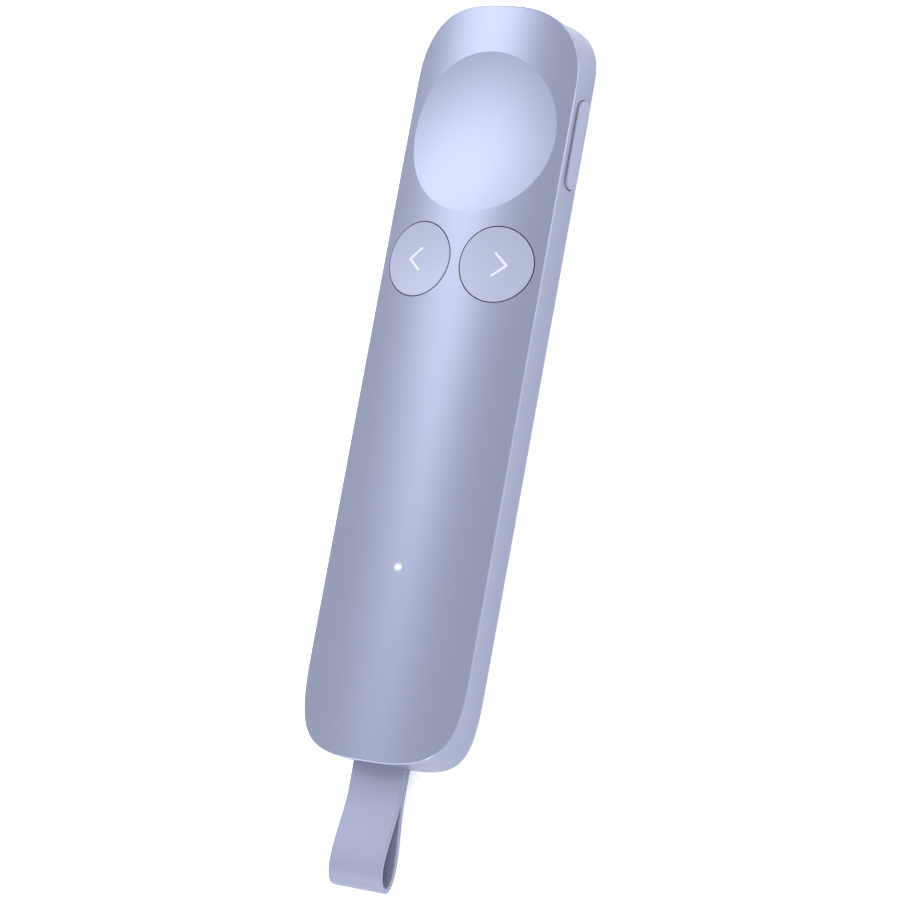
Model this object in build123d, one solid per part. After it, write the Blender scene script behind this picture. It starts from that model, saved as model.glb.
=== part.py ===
from build123d import *
import math
import os

# A handheld wireless presentation clicker, lying on its back. Millimetres.
# Origin: centre of the flat underside. +Y points to the head, +X to the side button, +Z out of the face.

# ---------------------------------------------------------------- driving sizes

# Overall body; the seam between housing and cover lies within the rolled lower edge
LENGTH = 131.3
WIDTH = 31.6
THICKNESS = 11.0
CROWN_RADIUS = 43.0
FOOT_HEIGHT = 3.0
FOOT_LAND = 0.1
SEAM_HEIGHT = 2.2
COVER_FLOOR = 1.2
WALL = 1.3
CREASE_ROUND = 0.3

# End outlines, each as depth along the length and power of the curve (2 would be an ellipse)
FACE_END = (17.2, 3.05)
HEAD_FOOT = (11.2, 2.77)
TAIL_FOOT = (20.8, 4.9)

# Dish in the face; its hollow is a share of the depth at which it would be straight across
DISH_MARGIN = 1.6
DISH_TO_HEAD = 8.25
DISH_HOLLOW = 0.51

# Round buttons in the face; the hollow of their tops is such a share too
BUTTON_MARGIN = 1.5
BUTTON_WEB = 1.87
BUTTON_TO_DISH = 3.16
BUTTON_HOLLOW = 0.68
BUTTON_GAP = 0.16
BUTTON_PROUD = 0.14
BUTTON_TRAVEL = 0.4
BUTTON_EDGE_ROUND = 0.2
CAP_TOP = 1.2
CAP_SKIRT = 0.9
FLANGE_REACH = 0.6
FLANGE_THICKNESS = 0.6
GUIDE_WALL = 1.5
STEM_RADIUS = 1.6

# Side button
SIDE_LENGTH = 15.9
SIDE_SILL = 0.3
SIDE_TO_CREASE = 1.4
SIDE_GAP = 0.14
SIDE_PROUD = 0.45
SIDE_EDGE_ROUND = 0.3
SIDE_TRAVEL = 0.35
SIDE_FLANGE = 0.6
SIDE_STEM_WIDTH = 3.0
SIDE_STEM_LENGTH = 0.5
SIDE_STEM_SHARE = 0.55

# Status light, pinhole
LIGHT_FROM_TAIL = 32.95
LIGHT_LENGTH = 1.4
LIGHT_WIDTH = 1.0
LIGHT_SLIP = 0.02
LIGHT_FLANGE_RADIUS = 1.6
LIGHT_FLANGE_HEIGHT = 0.8
PINHOLE_X = 8.2
PINHOLE_RADIUS = 0.4
RESET_SETBACK = 1.3
RESET_TRAVEL = 0.25
RESET_MOUTH = 1.0
RESET_PLUNGER_RADIUS = 0.45

# Receiver that parks in the tail, its plug and socket, its strap
RECEIVER_WIDTH = 12.0
RECEIVER_HEIGHT = 4.3
RECEIVER_CORNER = 1.2
RECEIVER_LENGTH = 12.5
RECEIVER_SILL = 0.1
RECEIVER_WALL = 0.9
BAY_GAP = 0.12
SLEEVE_WALL = 0.8
PLUG_WIDTH = 8.26
PLUG_HEIGHT = 2.48
PLUG_LENGTH = 6.4
PLUG_METAL = 0.3
PLUG_GAP = 0.09
PLUG_ROUND = 0.45
PLUG_SUNK = 1.6
SOCKET_METAL = 0.25
SOCKET_LENGTH = 7.3
SOCKET_END = 0.4
PIN_RADIUS = 0.8
PIN_LENGTH = 3.4
STRAP_WIDTH = 10.3
STRAP_THICKNESS = 0.95
STRAP_REACH = 21.0
STRAP_CLOSED = 5.0
STRAP_RISE = 1.9
STRAP_FALL = 1.4

# Board, frame, screws
BOARD_THICKNESS = 0.8
BOARD_GAP = 1.2
BOARD_CLEARANCE = 0.4
BOARD_PAST_BUTTONS = 5.0
BOARD_OVER_SOCKET = 5.8
BOARD_ARM = 3.4
FRAME_RAIL = 1.1
FRAME_WALL = 1.0
SCREW_INSET = 3.2
SCREW_TO_FRONT = 2.6
SCREW_BEHIND_BUTTONS = 7.7
SCREW_PAST_SOCKET = 5.0
SCREW_RADIUS = 0.7
SCREW_HEAD_RADIUS = 1.35
SCREW_HEAD_HEIGHT = 0.8
SCREW_HEAD_ROUND = 0.3
SCREW_HEAD_CLEARANCE = 0.3
SCREW_DRIVE = 0.55
SCREW_LENGTH = 4.4
BOSS_RADIUS = 1.9

# Cell
CELL_TO_SOCKET = 2.5
CELL_TO_SCREWS = 2.0
CELL_TAPE = 0.2
CELL_FOAM = 0.5
CELL_ROUND = 0.35
GUARD_DEPTH = 3.1
GUARD_THICKNESS = 0.6
LEAD_RADIUS = 0.4
LEAD_SPACING = 1.8
LEAD_BEND = 0.8

# Switches, motor, film; sizes in threes are along X, Y and Z
SWITCH_SIZE = 5.0
SWITCH_HEIGHT = 0.9
SWITCH_CHAMFER = 0.6
PLUNGER_RADIUS = 1.0
SIDE_SWITCH = (3.0, 4.6, 1.7)
SIDE_MOUTH = 1.1
SIDE_PLUNGER = (2.0, 1.0)
RESET_SWITCH = (2.2, 2.0, 1.6)
MOTOR_RADIUS = 5.0
MOTOR_HEIGHT = 2.8
MOTOR_ROUND = 0.4
MOTOR_TAPE = 0.2
FILM_MARGIN = 3.2
FILM_THICKNESS = 0.25
FLEX_WIDTH = 4.0
FLEX_THICKNESS = 0.15
FLEX_LAP = 1.5
FLEX_RUN = 3.2
FLEX_BEND = 0.5

# What stands on the board
LED = (1.6, 0.8, 0.6)
PAD_CONNECTOR = (5.0, 1.8, 0.8)
PAD_CONNECTOR_INSET = 4.6
RADIO_CHIP = (6.0, 6.0, 0.9)
SHIELD = (12.0, 11.0, 1.4)
SHIELD_METAL = 0.2
SHIELD_ROUND = 0.5
MOTION_CHIP = (3.0, 2.5, 0.9)
POWER_CHIP = (4.0, 4.0, 0.8)
SMALL_CHIP = (1.0, 0.5, 0.5)
SMALL_CHIP_PITCH = 2.0
ANTENNA_HEIGHT = 1.8
ANTENNA_METAL = 0.3
ANTENNA_LAP = 4.0
BATTERY_CONNECTOR = (3.6, 2.8, 1.3)

# Joint between housing and cover
LIP_RISE = 0.5
LIP_WIDTH = 1.0
LIP_BREAK = 0.7
CLIP_LENGTH = 6.0
CLIP_HEIGHT = 0.5
CLIP_BITE = 0.25
CLIP_RISE = 0.75
RIB = 1.0
RIB_HALF = 9.0
RIB_PITCH = 8.0

# Clearances, and how far a cut runs past the face that it opens
SLIP = 0.05
FIT = 0.1
OVER = 1.0

# ---------------------------------------------------------------- levels and places that follow

HALF = WIDTH / 2
TAIL = -LENGTH / 2
HEAD = LENGTH / 2


def crown_height(x, drop=0.0):
    """Height of the crowned face at x, or of a like surface that lies drop below it."""
    return THICKNESS - CROWN_RADIUS + math.sqrt((CROWN_RADIUS - drop) ** 2 - x**2)


EDGE_ROUND = FOOT_HEIGHT - FOOT_LAND
DISH_RADIUS = HALF - DISH_MARGIN
DISH_Y = HEAD - DISH_TO_HEAD - DISH_RADIUS
DISH_DEPTH = DISH_HOLLOW * DISH_RADIUS**2 / (2 * CROWN_RADIUS)
OPENING_RADIUS = (HALF - BUTTON_MARGIN - BUTTON_WEB / 2) / 2
CAP_RADIUS = OPENING_RADIUS - BUTTON_GAP
BUTTON_X = BUTTON_WEB / 2 + OPENING_RADIUS
BUTTON_Y = DISH_Y - math.sqrt((DISH_RADIUS + BUTTON_TO_DISH + OPENING_RADIUS) ** 2 - BUTTON_X**2)
BUTTON_DISHING = BUTTON_HOLLOW * OPENING_RADIUS**2 / (2 * CROWN_RADIUS)
LIGHT_Y = TAIL + LIGHT_FROM_TAIL

RECEIVER_LOW = SEAM_HEIGHT + RECEIVER_SILL
RECEIVER_Z = RECEIVER_LOW + RECEIVER_HEIGHT / 2
RECEIVER_FRONT = TAIL + RECEIVER_LENGTH
BAY_HALF = RECEIVER_WIDTH / 2 + BAY_GAP + SLEEVE_WALL
SLEEVE_TAIL = TAIL + WALL + 2 * FIT
SLEEVE_MIDDLE = (SLEEVE_TAIL + RECEIVER_FRONT) / 2
SOCKET_MOUTH = RECEIVER_FRONT + FIT
SOCKET_BACK = SOCKET_MOUTH + SOCKET_LENGTH

SEAT_Z = crown_height(BUTTON_X + OPENING_RADIUS, WALL) - FIT
FLANGE_TOP = SEAT_Z - SLIP
FLANGE_BOTTOM = FLANGE_TOP - FLANGE_THICKNESS
BOARD_TOP = min(FLANGE_BOTTOM - BUTTON_TRAVEL - BOARD_CLEARANCE, RECEIVER_Z + BOARD_THICKNESS / 2)
BOARD_BOTTOM = BOARD_TOP - BOARD_THICKNESS
BOARD_MIDDLE = (BOARD_TOP + BOARD_BOTTOM) / 2
PLUNGER_TOP = BOARD_TOP + SWITCH_HEIGHT + BUTTON_TRAVEL + FIT

CREASE_Z = crown_height(HALF)
SIDE_LOW = SEAM_HEIGHT + SIDE_SILL
SIDE_HIGH = CREASE_Z - SIDE_TO_CREASE
SIDE_Z = (SIDE_LOW + SIDE_HIGH) / 2
SIDE_HEIGHT = SIDE_HIGH - SIDE_LOW
SIDE_FLANGE_X = HALF - WALL - SLIP
SIDE_STEM_END = SIDE_FLANGE_X - SIDE_FLANGE - SIDE_STEM_LENGTH
SIDE_SWITCH_FRONT = SIDE_STEM_END - SIDE_TRAVEL - FIT

RESET_TIP = TAIL + WALL + RESET_SETBACK
RESET_FACE = RESET_TIP + RESET_TRAVEL + 3 * FIT

BOARD_FRONT = BUTTON_Y + OPENING_RADIUS + BOARD_PAST_BUTTONS
BOARD_TAIL = SOCKET_BACK - BOARD_OVER_SOCKET
SCREW_X = HALF - WALL - SCREW_INSET
SCREW_FRONT = BOARD_FRONT - SCREW_TO_FRONT
SCREW_MIDDLE = BUTTON_Y - OPENING_RADIUS - SCREW_BEHIND_BUTTONS
SCREW_TAIL = SOCKET_BACK + SCREW_PAST_SOCKET
SCREW_PLACES = [(side * SCREW_X, y) for y in (SCREW_FRONT, SCREW_MIDDLE, SCREW_TAIL) for side in (-1, 1)]
SCREW_SEAT = COVER_FLOOR + SCREW_HEAD_CLEARANCE + SCREW_HEAD_HEIGHT
RADIO_Y = (SCREW_MIDDLE + LIGHT_Y) / 2

RAIL_OUTER = SCREW_X - SCREW_HEAD_RADIUS - 3 * FIT
RAIL_INNER = RAIL_OUTER - FRAME_RAIL
CELL_HALF = RAIL_INNER - 2 * FIT
CELL_TAIL = SOCKET_BACK + CELL_TO_SOCKET
CELL_FRONT = SCREW_MIDDLE - CELL_TO_SCREWS
CELL_LOW = COVER_FLOOR + CELL_TAPE
CELL_HIGH = BOARD_BOTTOM - CELL_FOAM
GUARD_LOW = COVER_FLOOR + 2 * FIT
GUARD_FRONT = CELL_FRONT + FIT + GUARD_DEPTH
CROSS_WALL = GUARD_FRONT + 4 * FIT
BATTERY_CONNECTOR_Y = CROSS_WALL + FRAME_WALL + 2 * BATTERY_CONNECTOR[1] - 2 * FIT


# ---------------------------------------------------------------- outline of the body

OUTLINE_STEP = 6
OUTLINE_STEPS = 180 // OUTLINE_STEP


def end_curve(depth, power, inset):
    """Points round one rounded end, from +X to -X, moved inwards by inset; y is 0 at its tip."""
    points = []
    for step in range(OUTLINE_STEPS + 1):
        angle = math.radians(step * OUTLINE_STEP)
        across = round(math.cos(angle), 12)
        along = round(math.sin(angle), 12)
        reach = (abs(across) ** power + along**power) ** (-1 / power)
        normal_x = math.copysign(abs(across * reach) ** (power - 1) / HALF, across)
        normal_y = (along * reach) ** (power - 1) / depth
        size = math.hypot(normal_x, normal_y)
        x = HALF * across * reach - inset * normal_x / size
        y = depth * along * reach - depth - inset * normal_y / size
        points.append((x, y))
    return points


def section(z, inset):
    """Face across the body at height z: above the foot height its outline turns into the face's."""
    rise = max(0.0, (z - FOOT_HEIGHT) / (THICKNESS - FOOT_HEIGHT))

    def end(foot, way):
        low = end_curve(*foot, inset)
        high = end_curve(*FACE_END, inset)
        return [
            (a[0] + (b[0] - a[0]) * rise, way * (HEAD + a[1] + (b[1] - a[1]) * rise), z)
            for a, b in zip(low, high)
        ]

    head = end(HEAD_FOOT, 1)
    tail = end(TAIL_FOOT, -1)
    return make_face(
        [
            Spline(*head, tangents=[(0, 1, 0), (0, -1, 0)]),
            Line(head[-1], tail[-1]),
            Spline(*reversed(tail), tangents=[(0, -1, 0), (0, 1, 0)]),
            Line(tail[0], head[0]),
        ]
    )


def walls(inset, high=THICKNESS):
    """Solid inside the side walls above the foot height, inset from their outer faces."""
    return loft([section(FOOT_HEIGHT, inset), section(high, inset)], ruled=True)


def upright_walls(inset, high=THICKNESS):
    """The same, carried straight down to the seam."""
    return extrude(section(SEAM_HEIGHT, inset), FOOT_HEIGHT - SEAM_HEIGHT) + walls(inset, high)


ROLL_STEP = 15


def rolled_foot(low, high):
    """Slice between two heights of the body's foot with its rolled lower edge."""
    layers = []
    for angle in range(90, -1, -ROLL_STEP):
        turn = math.radians(angle)
        layers.append(section(EDGE_ROUND * (1 - math.sin(turn)), EDGE_ROUND * (1 - math.cos(turn))))
    foot = loft(layers) + extrude(section(EDGE_ROUND, 0), FOOT_LAND)
    return foot & block(-WIDTH, WIDTH, -LENGTH, LENGTH, low, high)


def crown(drop=0.0):
    """Long cylinder whose top is the crowned face, lowered by drop."""
    return Pos(0, 0, THICKNESS - CROWN_RADIUS) * Rot(90, 0, 0) * Cylinder(CROWN_RADIUS - drop, 2 * LENGTH)


def saddle(radius, depth, drop=0.0):
    """Space above a saddle that cuts the crowned face in a round rim: hollow along Y, domed along X.

    The rim stays round because what the hollow gains along Y, the crown loses along X."""
    hollow = radius**2 / (2 * depth)
    dome = 1 / (1 / CROWN_RADIUS - 2 * depth / radius**2) - drop
    reach = radius + 3 * OVER
    floor = THICKNESS - depth - drop
    edge = floor - dome + math.sqrt(dome**2 - reach**2)
    above = THICKNESS + radius
    profile = make_face(
        [
            ThreePointArc((-reach, 0, edge), (0, 0, floor), (reach, 0, edge)),
            Polyline((reach, 0, edge), (reach, 0, above), (-reach, 0, above), (-reach, 0, edge)),
        ]
    )
    axis = Axis((0, 0, THICKNESS - depth + hollow), (1, 0, 0))
    half_turn = math.degrees(math.asin(reach / hollow))
    return revolve(profile, axis=axis, revolution_arc=2 * half_turn).rotate(axis, -half_turn)


def round_crown(shape, x, y):
    """Moves a shape from the middle of the face to x, y, turned about the crown's own axis."""
    turn = math.degrees(math.asin(x / CROWN_RADIUS))
    axis = Axis((0, 0, THICKNESS - CROWN_RADIUS), (0, 1, 0))
    return Pos(0, y, 0) * shape.rotate(axis, turn)


def block(x0, x1, y0, y1, z0, z1):
    """Box between two corners."""
    return Pos((x0 + x1) / 2, (y0 + y1) / 2, (z0 + z1) / 2) * Box(x1 - x0, y1 - y0, z1 - z0)


def post(radius, x, y, z0, z1):
    """Upright cylinder between two heights."""
    return Pos(x, y, (z0 + z1) / 2) * Cylinder(radius, z1 - z0)


def bar(width, height, corner, y0, y1, z=RECEIVER_Z):
    """Bar along Y with a rounded rectangular section, centred on the receiver's line."""
    outline = Plane.XZ.offset(-y1) * Pos(0, z) * RectangleRounded(width, height, corner)
    return extrude(outline, y1 - y0)


def pill(length, height, x0, x1, y, z):
    """Pill-shaped bar along X, long in Y."""
    outline = Plane.YZ.offset(x0) * Pos(y, z) * SlotOverall(length, height)
    return extrude(outline, x1 - x0)


# ---------------------------------------------------------------- top housing

CLIP_YS = (SCREW_TAIL + CLIP_LENGTH, 0.0, BUTTON_Y + CLIP_LENGTH)
CLIP_PLACES = [(side, y) for side in (-1, 1) for y in CLIP_YS]
CLIP_Z = SEAM_HEIGHT + CLIP_RISE


def make_top_housing():
    """Crowned face and side walls in one shell of even thickness, with its openings and bosses."""
    outside = walls(0) & crown()
    crease = outside.edges().filter_by(lambda edge: edge.bounding_box().min.Z > FOOT_HEIGHT + SLIP)
    outside = fillet(crease, CREASE_ROUND) + rolled_foot(SEAM_HEIGHT, FOOT_HEIGHT)
    dish = Pos(0, DISH_Y, 0) * saddle(DISH_RADIUS, DISH_DEPTH)
    under_dish = Pos(0, DISH_Y, 0) * saddle(DISH_RADIUS, DISH_DEPTH, WALL)
    cavity = (upright_walls(WALL) & crown(WALL)) - under_dish

    guide = OPENING_RADIUS + GUIDE_WALL
    rings = [post(guide, side * BUTTON_X, BUTTON_Y, SEAT_Z, THICKNESS) for side in (-1, 1)]
    bosses = [post(BOSS_RADIUS, x, y, BOARD_TOP, THICKNESS) for x, y in SCREW_PLACES]
    for solid in rings + bosses:
        cavity -= solid
    shell = outside - dish - cavity

    for side in (-1, 1):
        shell -= post(OPENING_RADIUS, side * BUTTON_X, BUTTON_Y, BOARD_TOP, THICKNESS + OVER)
    for x, y in SCREW_PLACES:
        shell -= post(SCREW_RADIUS + SLIP / 2, x, y, BOARD_TOP - OVER, SCREW_SEAT + SCREW_LENGTH + FIT)
    shell -= pill(SIDE_LENGTH, SIDE_HEIGHT, HALF - 2 * WALL, HALF + OVER, DISH_Y, SIDE_Z)
    shell -= light_bar(0, BOARD_TOP)
    shell -= tail_opening()
    shell -= Pos(PINHOLE_X, TAIL + WALL, BOARD_MIDDLE) * Rot(90, 0, 0) * Cylinder(PINHOLE_RADIUS, 4 * WALL)
    for side, y in CLIP_PLACES:
        pocket = Box(2 * CLIP_BITE + 2 * FIT, CLIP_LENGTH + 4 * FIT, CLIP_HEIGHT + 3 * FIT)
        shell -= Pos(side * (HALF - WALL), y, CLIP_Z) * pocket
    return shell


def light_bar(gap, low):
    """Pill-shaped post under the status light, smaller by gap all round."""
    outline = Pos(0, LIGHT_Y, low) * SlotOverall(LIGHT_LENGTH - 2 * gap, LIGHT_WIDTH - 2 * gap)
    return extrude(outline, THICKNESS + OVER - low)


def tail_opening():
    """The receiver's way out through the tail wall; the cover's edge is its sill."""
    width = RECEIVER_WIDTH + 2 * FIT
    top = RECEIVER_LOW + RECEIVER_HEIGHT + FIT
    height = top - SEAM_HEIGHT + 2 * RECEIVER_CORNER
    return bar(width, height, RECEIVER_CORNER, TAIL - OVER, TAIL + 2 * WALL, top - height / 2)


# ---------------------------------------------------------------- bottom cover


def make_bottom_cover():
    """Tray with a rolled lower edge, a lip that plugs into the housing, clip beads and ribs."""
    tray = rolled_foot(0, SEAM_HEIGHT)
    lip_outer = WALL + FIT
    lip_inner = lip_outer + LIP_WIDTH
    lip_base = SEAM_HEIGHT - SLIP
    lip = upright_walls(lip_outer, FOOT_HEIGHT + LIP_RISE)
    bay = BAY_HALF + LIP_BREAK
    lip -= block(-bay, bay, TAIL, RECEIVER_FRONT, lip_base, THICKNESS)
    button = SIDE_LENGTH / 2 + SIDE_FLANGE + LIP_BREAK
    lip -= block(0, HALF, DISH_Y - button, DISH_Y + button, lip_base, THICKNESS)
    tray += lip
    for side, y in CLIP_PLACES:
        tray += Pos(side * (HALF - lip_outer), y, CLIP_Z) * Box(2 * CLIP_BITE, CLIP_LENGTH, CLIP_HEIGHT)
    tray -= extrude(Pos(0, 0, COVER_FLOOR - SEAM_HEIGHT) * section(SEAM_HEIGHT, lip_inner), THICKNESS)

    sleeve_half = BAY_HALF + FIT
    sleeve_low = RECEIVER_Z - RECEIVER_HEIGHT / 2 - BAY_GAP - SLEEVE_WALL
    tray -= block(-sleeve_half, sleeve_half, SLEEVE_TAIL - FIT, RECEIVER_FRONT, sleeve_low, THICKNESS)
    rib_half = RECEIVER_WIDTH / 2
    bay_ribs = [SLEEVE_MIDDLE + side * RECEIVER_LENGTH / 4 for side in (-1, 1)]
    for y in bay_ribs:
        tray += block(-rib_half, rib_half, y - RIB / 2, y + RIB / 2, COVER_FLOOR, sleeve_low)
    head_ribs = [DISH_Y + step * RIB_PITCH for step in (-1, 0, 1)]
    for y in head_ribs:
        tray += block(-RIB_HALF, RIB_HALF, y - RIB / 2, y + RIB / 2, COVER_FLOOR, COVER_FLOOR + RIB)
    return tray


# ---------------------------------------------------------------- buttons in the face


def make_cap(side):
    """Round cap: saddle-shaped top, skirt, retaining flange and a stem over its switch."""
    x = side * BUTTON_X
    body = post(CAP_RADIUS, x, BUTTON_Y, FLANGE_BOTTOM, THICKNESS + OVER)
    hollow = Pos(0, 0, BUTTON_PROUD) * saddle(CAP_RADIUS + BUTTON_GAP, BUTTON_DISHING)
    body -= round_crown(hollow, x, BUTTON_Y)
    rim = body.edges().filter_by(lambda edge: edge.bounding_box().min.Z > FLANGE_TOP + OVER)
    body = fillet(rim, BUTTON_EDGE_ROUND)

    room = post(CAP_RADIUS - CAP_SKIRT, x, BUTTON_Y, FLANGE_BOTTOM - OVER, THICKNESS + OVER)
    under = BUTTON_DISHING + CAP_TOP
    body -= room & crown(under)
    flange = post(OPENING_RADIUS + FLANGE_REACH, x, BUTTON_Y, FLANGE_BOTTOM, FLANGE_TOP) - room
    inner = HALF - WALL - 3 * FIT
    flange &= block(-inner, inner, -LENGTH, LENGTH, 0, THICKNESS)
    stem = post(STEM_RADIUS, x, BUTTON_Y, PLUNGER_TOP, THICKNESS) & crown(under - SLIP)
    return body + flange + stem


def make_switch(side):
    """Square tact switch on the board with a round hole for its plunger."""
    x = side * BUTTON_X
    can = Pos(x, BUTTON_Y, BOARD_TOP + SWITCH_HEIGHT / 2) * Box(SWITCH_SIZE, SWITCH_SIZE, SWITCH_HEIGHT)
    can = chamfer(can.edges().filter_by(Axis.Z), SWITCH_CHAMFER)
    return can - post(PLUNGER_RADIUS + SLIP, x, BUTTON_Y, BOARD_TOP + FIT, THICKNESS)


def make_plunger(side):
    """Round plunger between the cap's stem and the switch's dome."""
    low = BOARD_TOP + 2 * FIT + BUTTON_TRAVEL
    return post(PLUNGER_RADIUS, side * BUTTON_X, BUTTON_Y, low, PLUNGER_TOP)


# ---------------------------------------------------------------- side button


def make_side_button():
    """Pill-shaped cap in the side wall, with a flange behind the wall and a stem to its switch."""
    length = SIDE_LENGTH - 2 * SIDE_GAP
    height = SIDE_HEIGHT - 2 * SIDE_GAP
    cap = pill(length, height, SIDE_FLANGE_X - SLIP, HALF + SIDE_PROUD, DISH_Y, SIDE_Z)
    face = cap.faces().sort_by(Axis.X)[-1]
    cap = fillet(face.edges(), SIDE_EDGE_ROUND)
    rim = 2 * SIDE_FLANGE
    flange = pill(length + rim, height + rim, SIDE_FLANGE_X - SIDE_FLANGE, SIDE_FLANGE_X, DISH_Y, SIDE_Z)
    flange &= crown(WALL + SLIP) & block(0, HALF, -LENGTH, LENGTH, SEAM_HEIGHT + FIT, THICKNESS)
    wide = SIDE_STEM_WIDTH / 2
    tall = SIDE_STEM_SHARE * SIDE_HEIGHT / 2
    stem = block(SIDE_STEM_END, SIDE_FLANGE_X, DISH_Y - wide, DISH_Y + wide, SIDE_Z - tall, SIDE_Z + tall)
    return cap + flange + stem


def side_box(size_x, size_y, size_z, front):
    """Box in the board's plane behind the side button, its front face towards +X."""
    return block(front - size_x, front, DISH_Y - size_y / 2, DISH_Y + size_y / 2,
                 BOARD_MIDDLE - size_z / 2, BOARD_MIDDLE + size_z / 2)


def make_side_switch():
    """Side-acting switch sunk in a notch of the board."""
    depth, width, height = SIDE_SWITCH
    wide, tall = SIDE_PLUNGER
    can = side_box(depth, width, height, SIDE_SWITCH_FRONT)
    mouth = side_box(SIDE_MOUTH + FIT, wide + 2 * SLIP, tall + 2 * SLIP, SIDE_SWITCH_FRONT + FIT)
    return can - mouth


def make_side_plunger():
    """Flat plunger between the side button's stem and the switch."""
    wide, tall = SIDE_PLUNGER
    end = SIDE_SWITCH_FRONT - SIDE_MOUTH + SIDE_TRAVEL + FIT
    return side_box(SIDE_STEM_END - end, wide, tall, SIDE_STEM_END)


# ---------------------------------------------------------------- reset switch behind the pinhole


def make_reset_switch():
    """Small switch at the end of the board's tail arm, facing the pinhole."""
    width, depth, height = RESET_SWITCH
    can = block(PINHOLE_X - width / 2, PINHOLE_X + width / 2, RESET_FACE, RESET_FACE + depth,
                BOARD_MIDDLE - height / 2, BOARD_MIDDLE + height / 2)
    return can - reset_pin(RESET_PLUNGER_RADIUS + SLIP, RESET_FACE - FIT, RESET_FACE + RESET_MOUTH)


def reset_pin(radius, y0, y1):
    """Round bar along Y in line with the pinhole."""
    return Pos(PINHOLE_X, (y0 + y1) / 2, BOARD_MIDDLE) * Rot(90, 0, 0) * Cylinder(radius, y1 - y0)


def make_reset_plunger():
    return reset_pin(RESET_PLUNGER_RADIUS, RESET_TIP, RESET_FACE + RESET_MOUTH - RESET_TRAVEL - FIT)


# ---------------------------------------------------------------- status light


def make_light_pipe():
    """Clear pill-shaped post with a flange under the face."""
    pipe = light_bar(LIGHT_SLIP, BOARD_TOP + LED[2] + 2 * FIT) & crown()
    flange_low = crown_height(0, WALL) - LIGHT_FLANGE_HEIGHT
    return pipe + (post(LIGHT_FLANGE_RADIUS, 0, LIGHT_Y, flange_low, THICKNESS) & crown(WALL))


def on_board(size, x, y):
    """Box of a size that stands on the board."""
    return Pos(x, y, BOARD_TOP + size[2] / 2) * Box(*size)


def make_status_led():
    return on_board(LED, 0, LIGHT_Y)


# ---------------------------------------------------------------- dish: film, haptic motor, flat lead

FILM_DROP = WALL + FILM_THICKNESS
FILM_RADIUS = DISH_RADIUS - FILM_MARGIN
MOTOR_TOP = THICKNESS - DISH_DEPTH - FILM_DROP - MOTOR_TAPE
CONNECTOR_Y = BOARD_FRONT - PAD_CONNECTOR_INSET


def under_film():
    """Space above the film's underside."""
    return Pos(0, DISH_Y, 0) * saddle(DISH_RADIUS, DISH_DEPTH, FILM_DROP)


def make_pad_sensor():
    """Touch and force film that follows the underside of the dish."""
    upper = Pos(0, DISH_Y, 0) * saddle(DISH_RADIUS, DISH_DEPTH, WALL)
    disc = post(FILM_RADIUS, 0, DISH_Y, BOARD_TOP, THICKNESS)
    return (disc & under_film()) - upper


def make_motor_tape():
    return post(MOTOR_RADIUS - MOTOR_ROUND - FIT, 0, DISH_Y, MOTOR_TOP, THICKNESS) - under_film()


def make_haptic_motor():
    """Flat linear motor, a closed can with rolled edges."""
    can = post(MOTOR_RADIUS, 0, DISH_Y, MOTOR_TOP - MOTOR_HEIGHT, MOTOR_TOP)
    return fillet(can.edges().filter_by(GeomType.CIRCLE), MOTOR_ROUND)


def make_pad_connector():
    return on_board(PAD_CONNECTOR, 0, CONNECTOR_Y)


def make_pad_flex():
    """Flat lead from the film's edge down to its connector."""
    hollow = DISH_RADIUS**2 / (2 * DISH_DEPTH)
    start = DISH_Y - FILM_RADIUS + FLEX_LAP
    lift = (start - DISH_Y) ** 2 / (2 * hollow)
    glued = THICKNESS - DISH_DEPTH - FILM_DROP + lift - FLEX_THICKNESS / 2 - SLIP
    low = BOARD_TOP + PAD_CONNECTOR[2] - 3 * FIT
    end = CONNECTOR_Y + PAD_CONNECTOR[1] / 2
    path = FilletPolyline(
        (0, start, glued),
        (0, start - FLEX_RUN, glued + FIT),
        (0, end + FLEX_LAP, low),
        (0, end, low),
        radius=FLEX_BEND,
    )
    ribbon = Plane(path @ 0, x_dir=(1, 0, 0), z_dir=path % 0) * Rectangle(FLEX_WIDTH, FLEX_THICKNESS)
    return sweep(ribbon, path=path)


# ---------------------------------------------------------------- board and what stands on it

TONGUE_X = MOTOR_RADIUS + BOSS_RADIUS
TONGUE_END = DISH_Y + DISH_RADIUS
ARM_X = BAY_HALF + 4 * FIT
SOCKET_NOTCH = PLUG_WIDTH / 2 + PLUG_GAP + SOCKET_METAL + FIT


def make_main_board():
    """Board with a tongue to the head beside the motor and an arm to the tail beside the receiver."""
    sheet = extrude(Pos(0, 0, BOARD_BOTTOM - SEAM_HEIGHT) * section(SEAM_HEIGHT, WALL + BOARD_GAP),
                    BOARD_THICKNESS)
    low, high = BOARD_BOTTOM - OVER, BOARD_TOP + OVER
    main = block(-HALF, HALF, BOARD_TAIL, BOARD_FRONT, low, high)
    tongue = block(TONGUE_X, HALF, BOARD_FRONT, TONGUE_END, low, high)
    arm_end = RESET_FACE + RESET_SWITCH[1]
    arm = block(ARM_X, ARM_X + BOARD_ARM, arm_end, BOARD_TAIL, low, high)
    board = sheet & (main + tongue + arm)
    board -= block(-SOCKET_NOTCH, SOCKET_NOTCH, TAIL, SOCKET_BACK + FIT, low, high)
    depth, width, _ = SIDE_SWITCH
    board -= block(SIDE_SWITCH_FRONT - depth - FIT, HALF, DISH_Y - width / 2 - FIT, DISH_Y + width / 2 + FIT,
                   low, high)
    for x, y in SCREW_PLACES:
        board -= post(SCREW_RADIUS + FIT, x, y, low, high)
    return board


def make_radio_chip():
    return on_board(RADIO_CHIP, 0, RADIO_Y)


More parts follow.
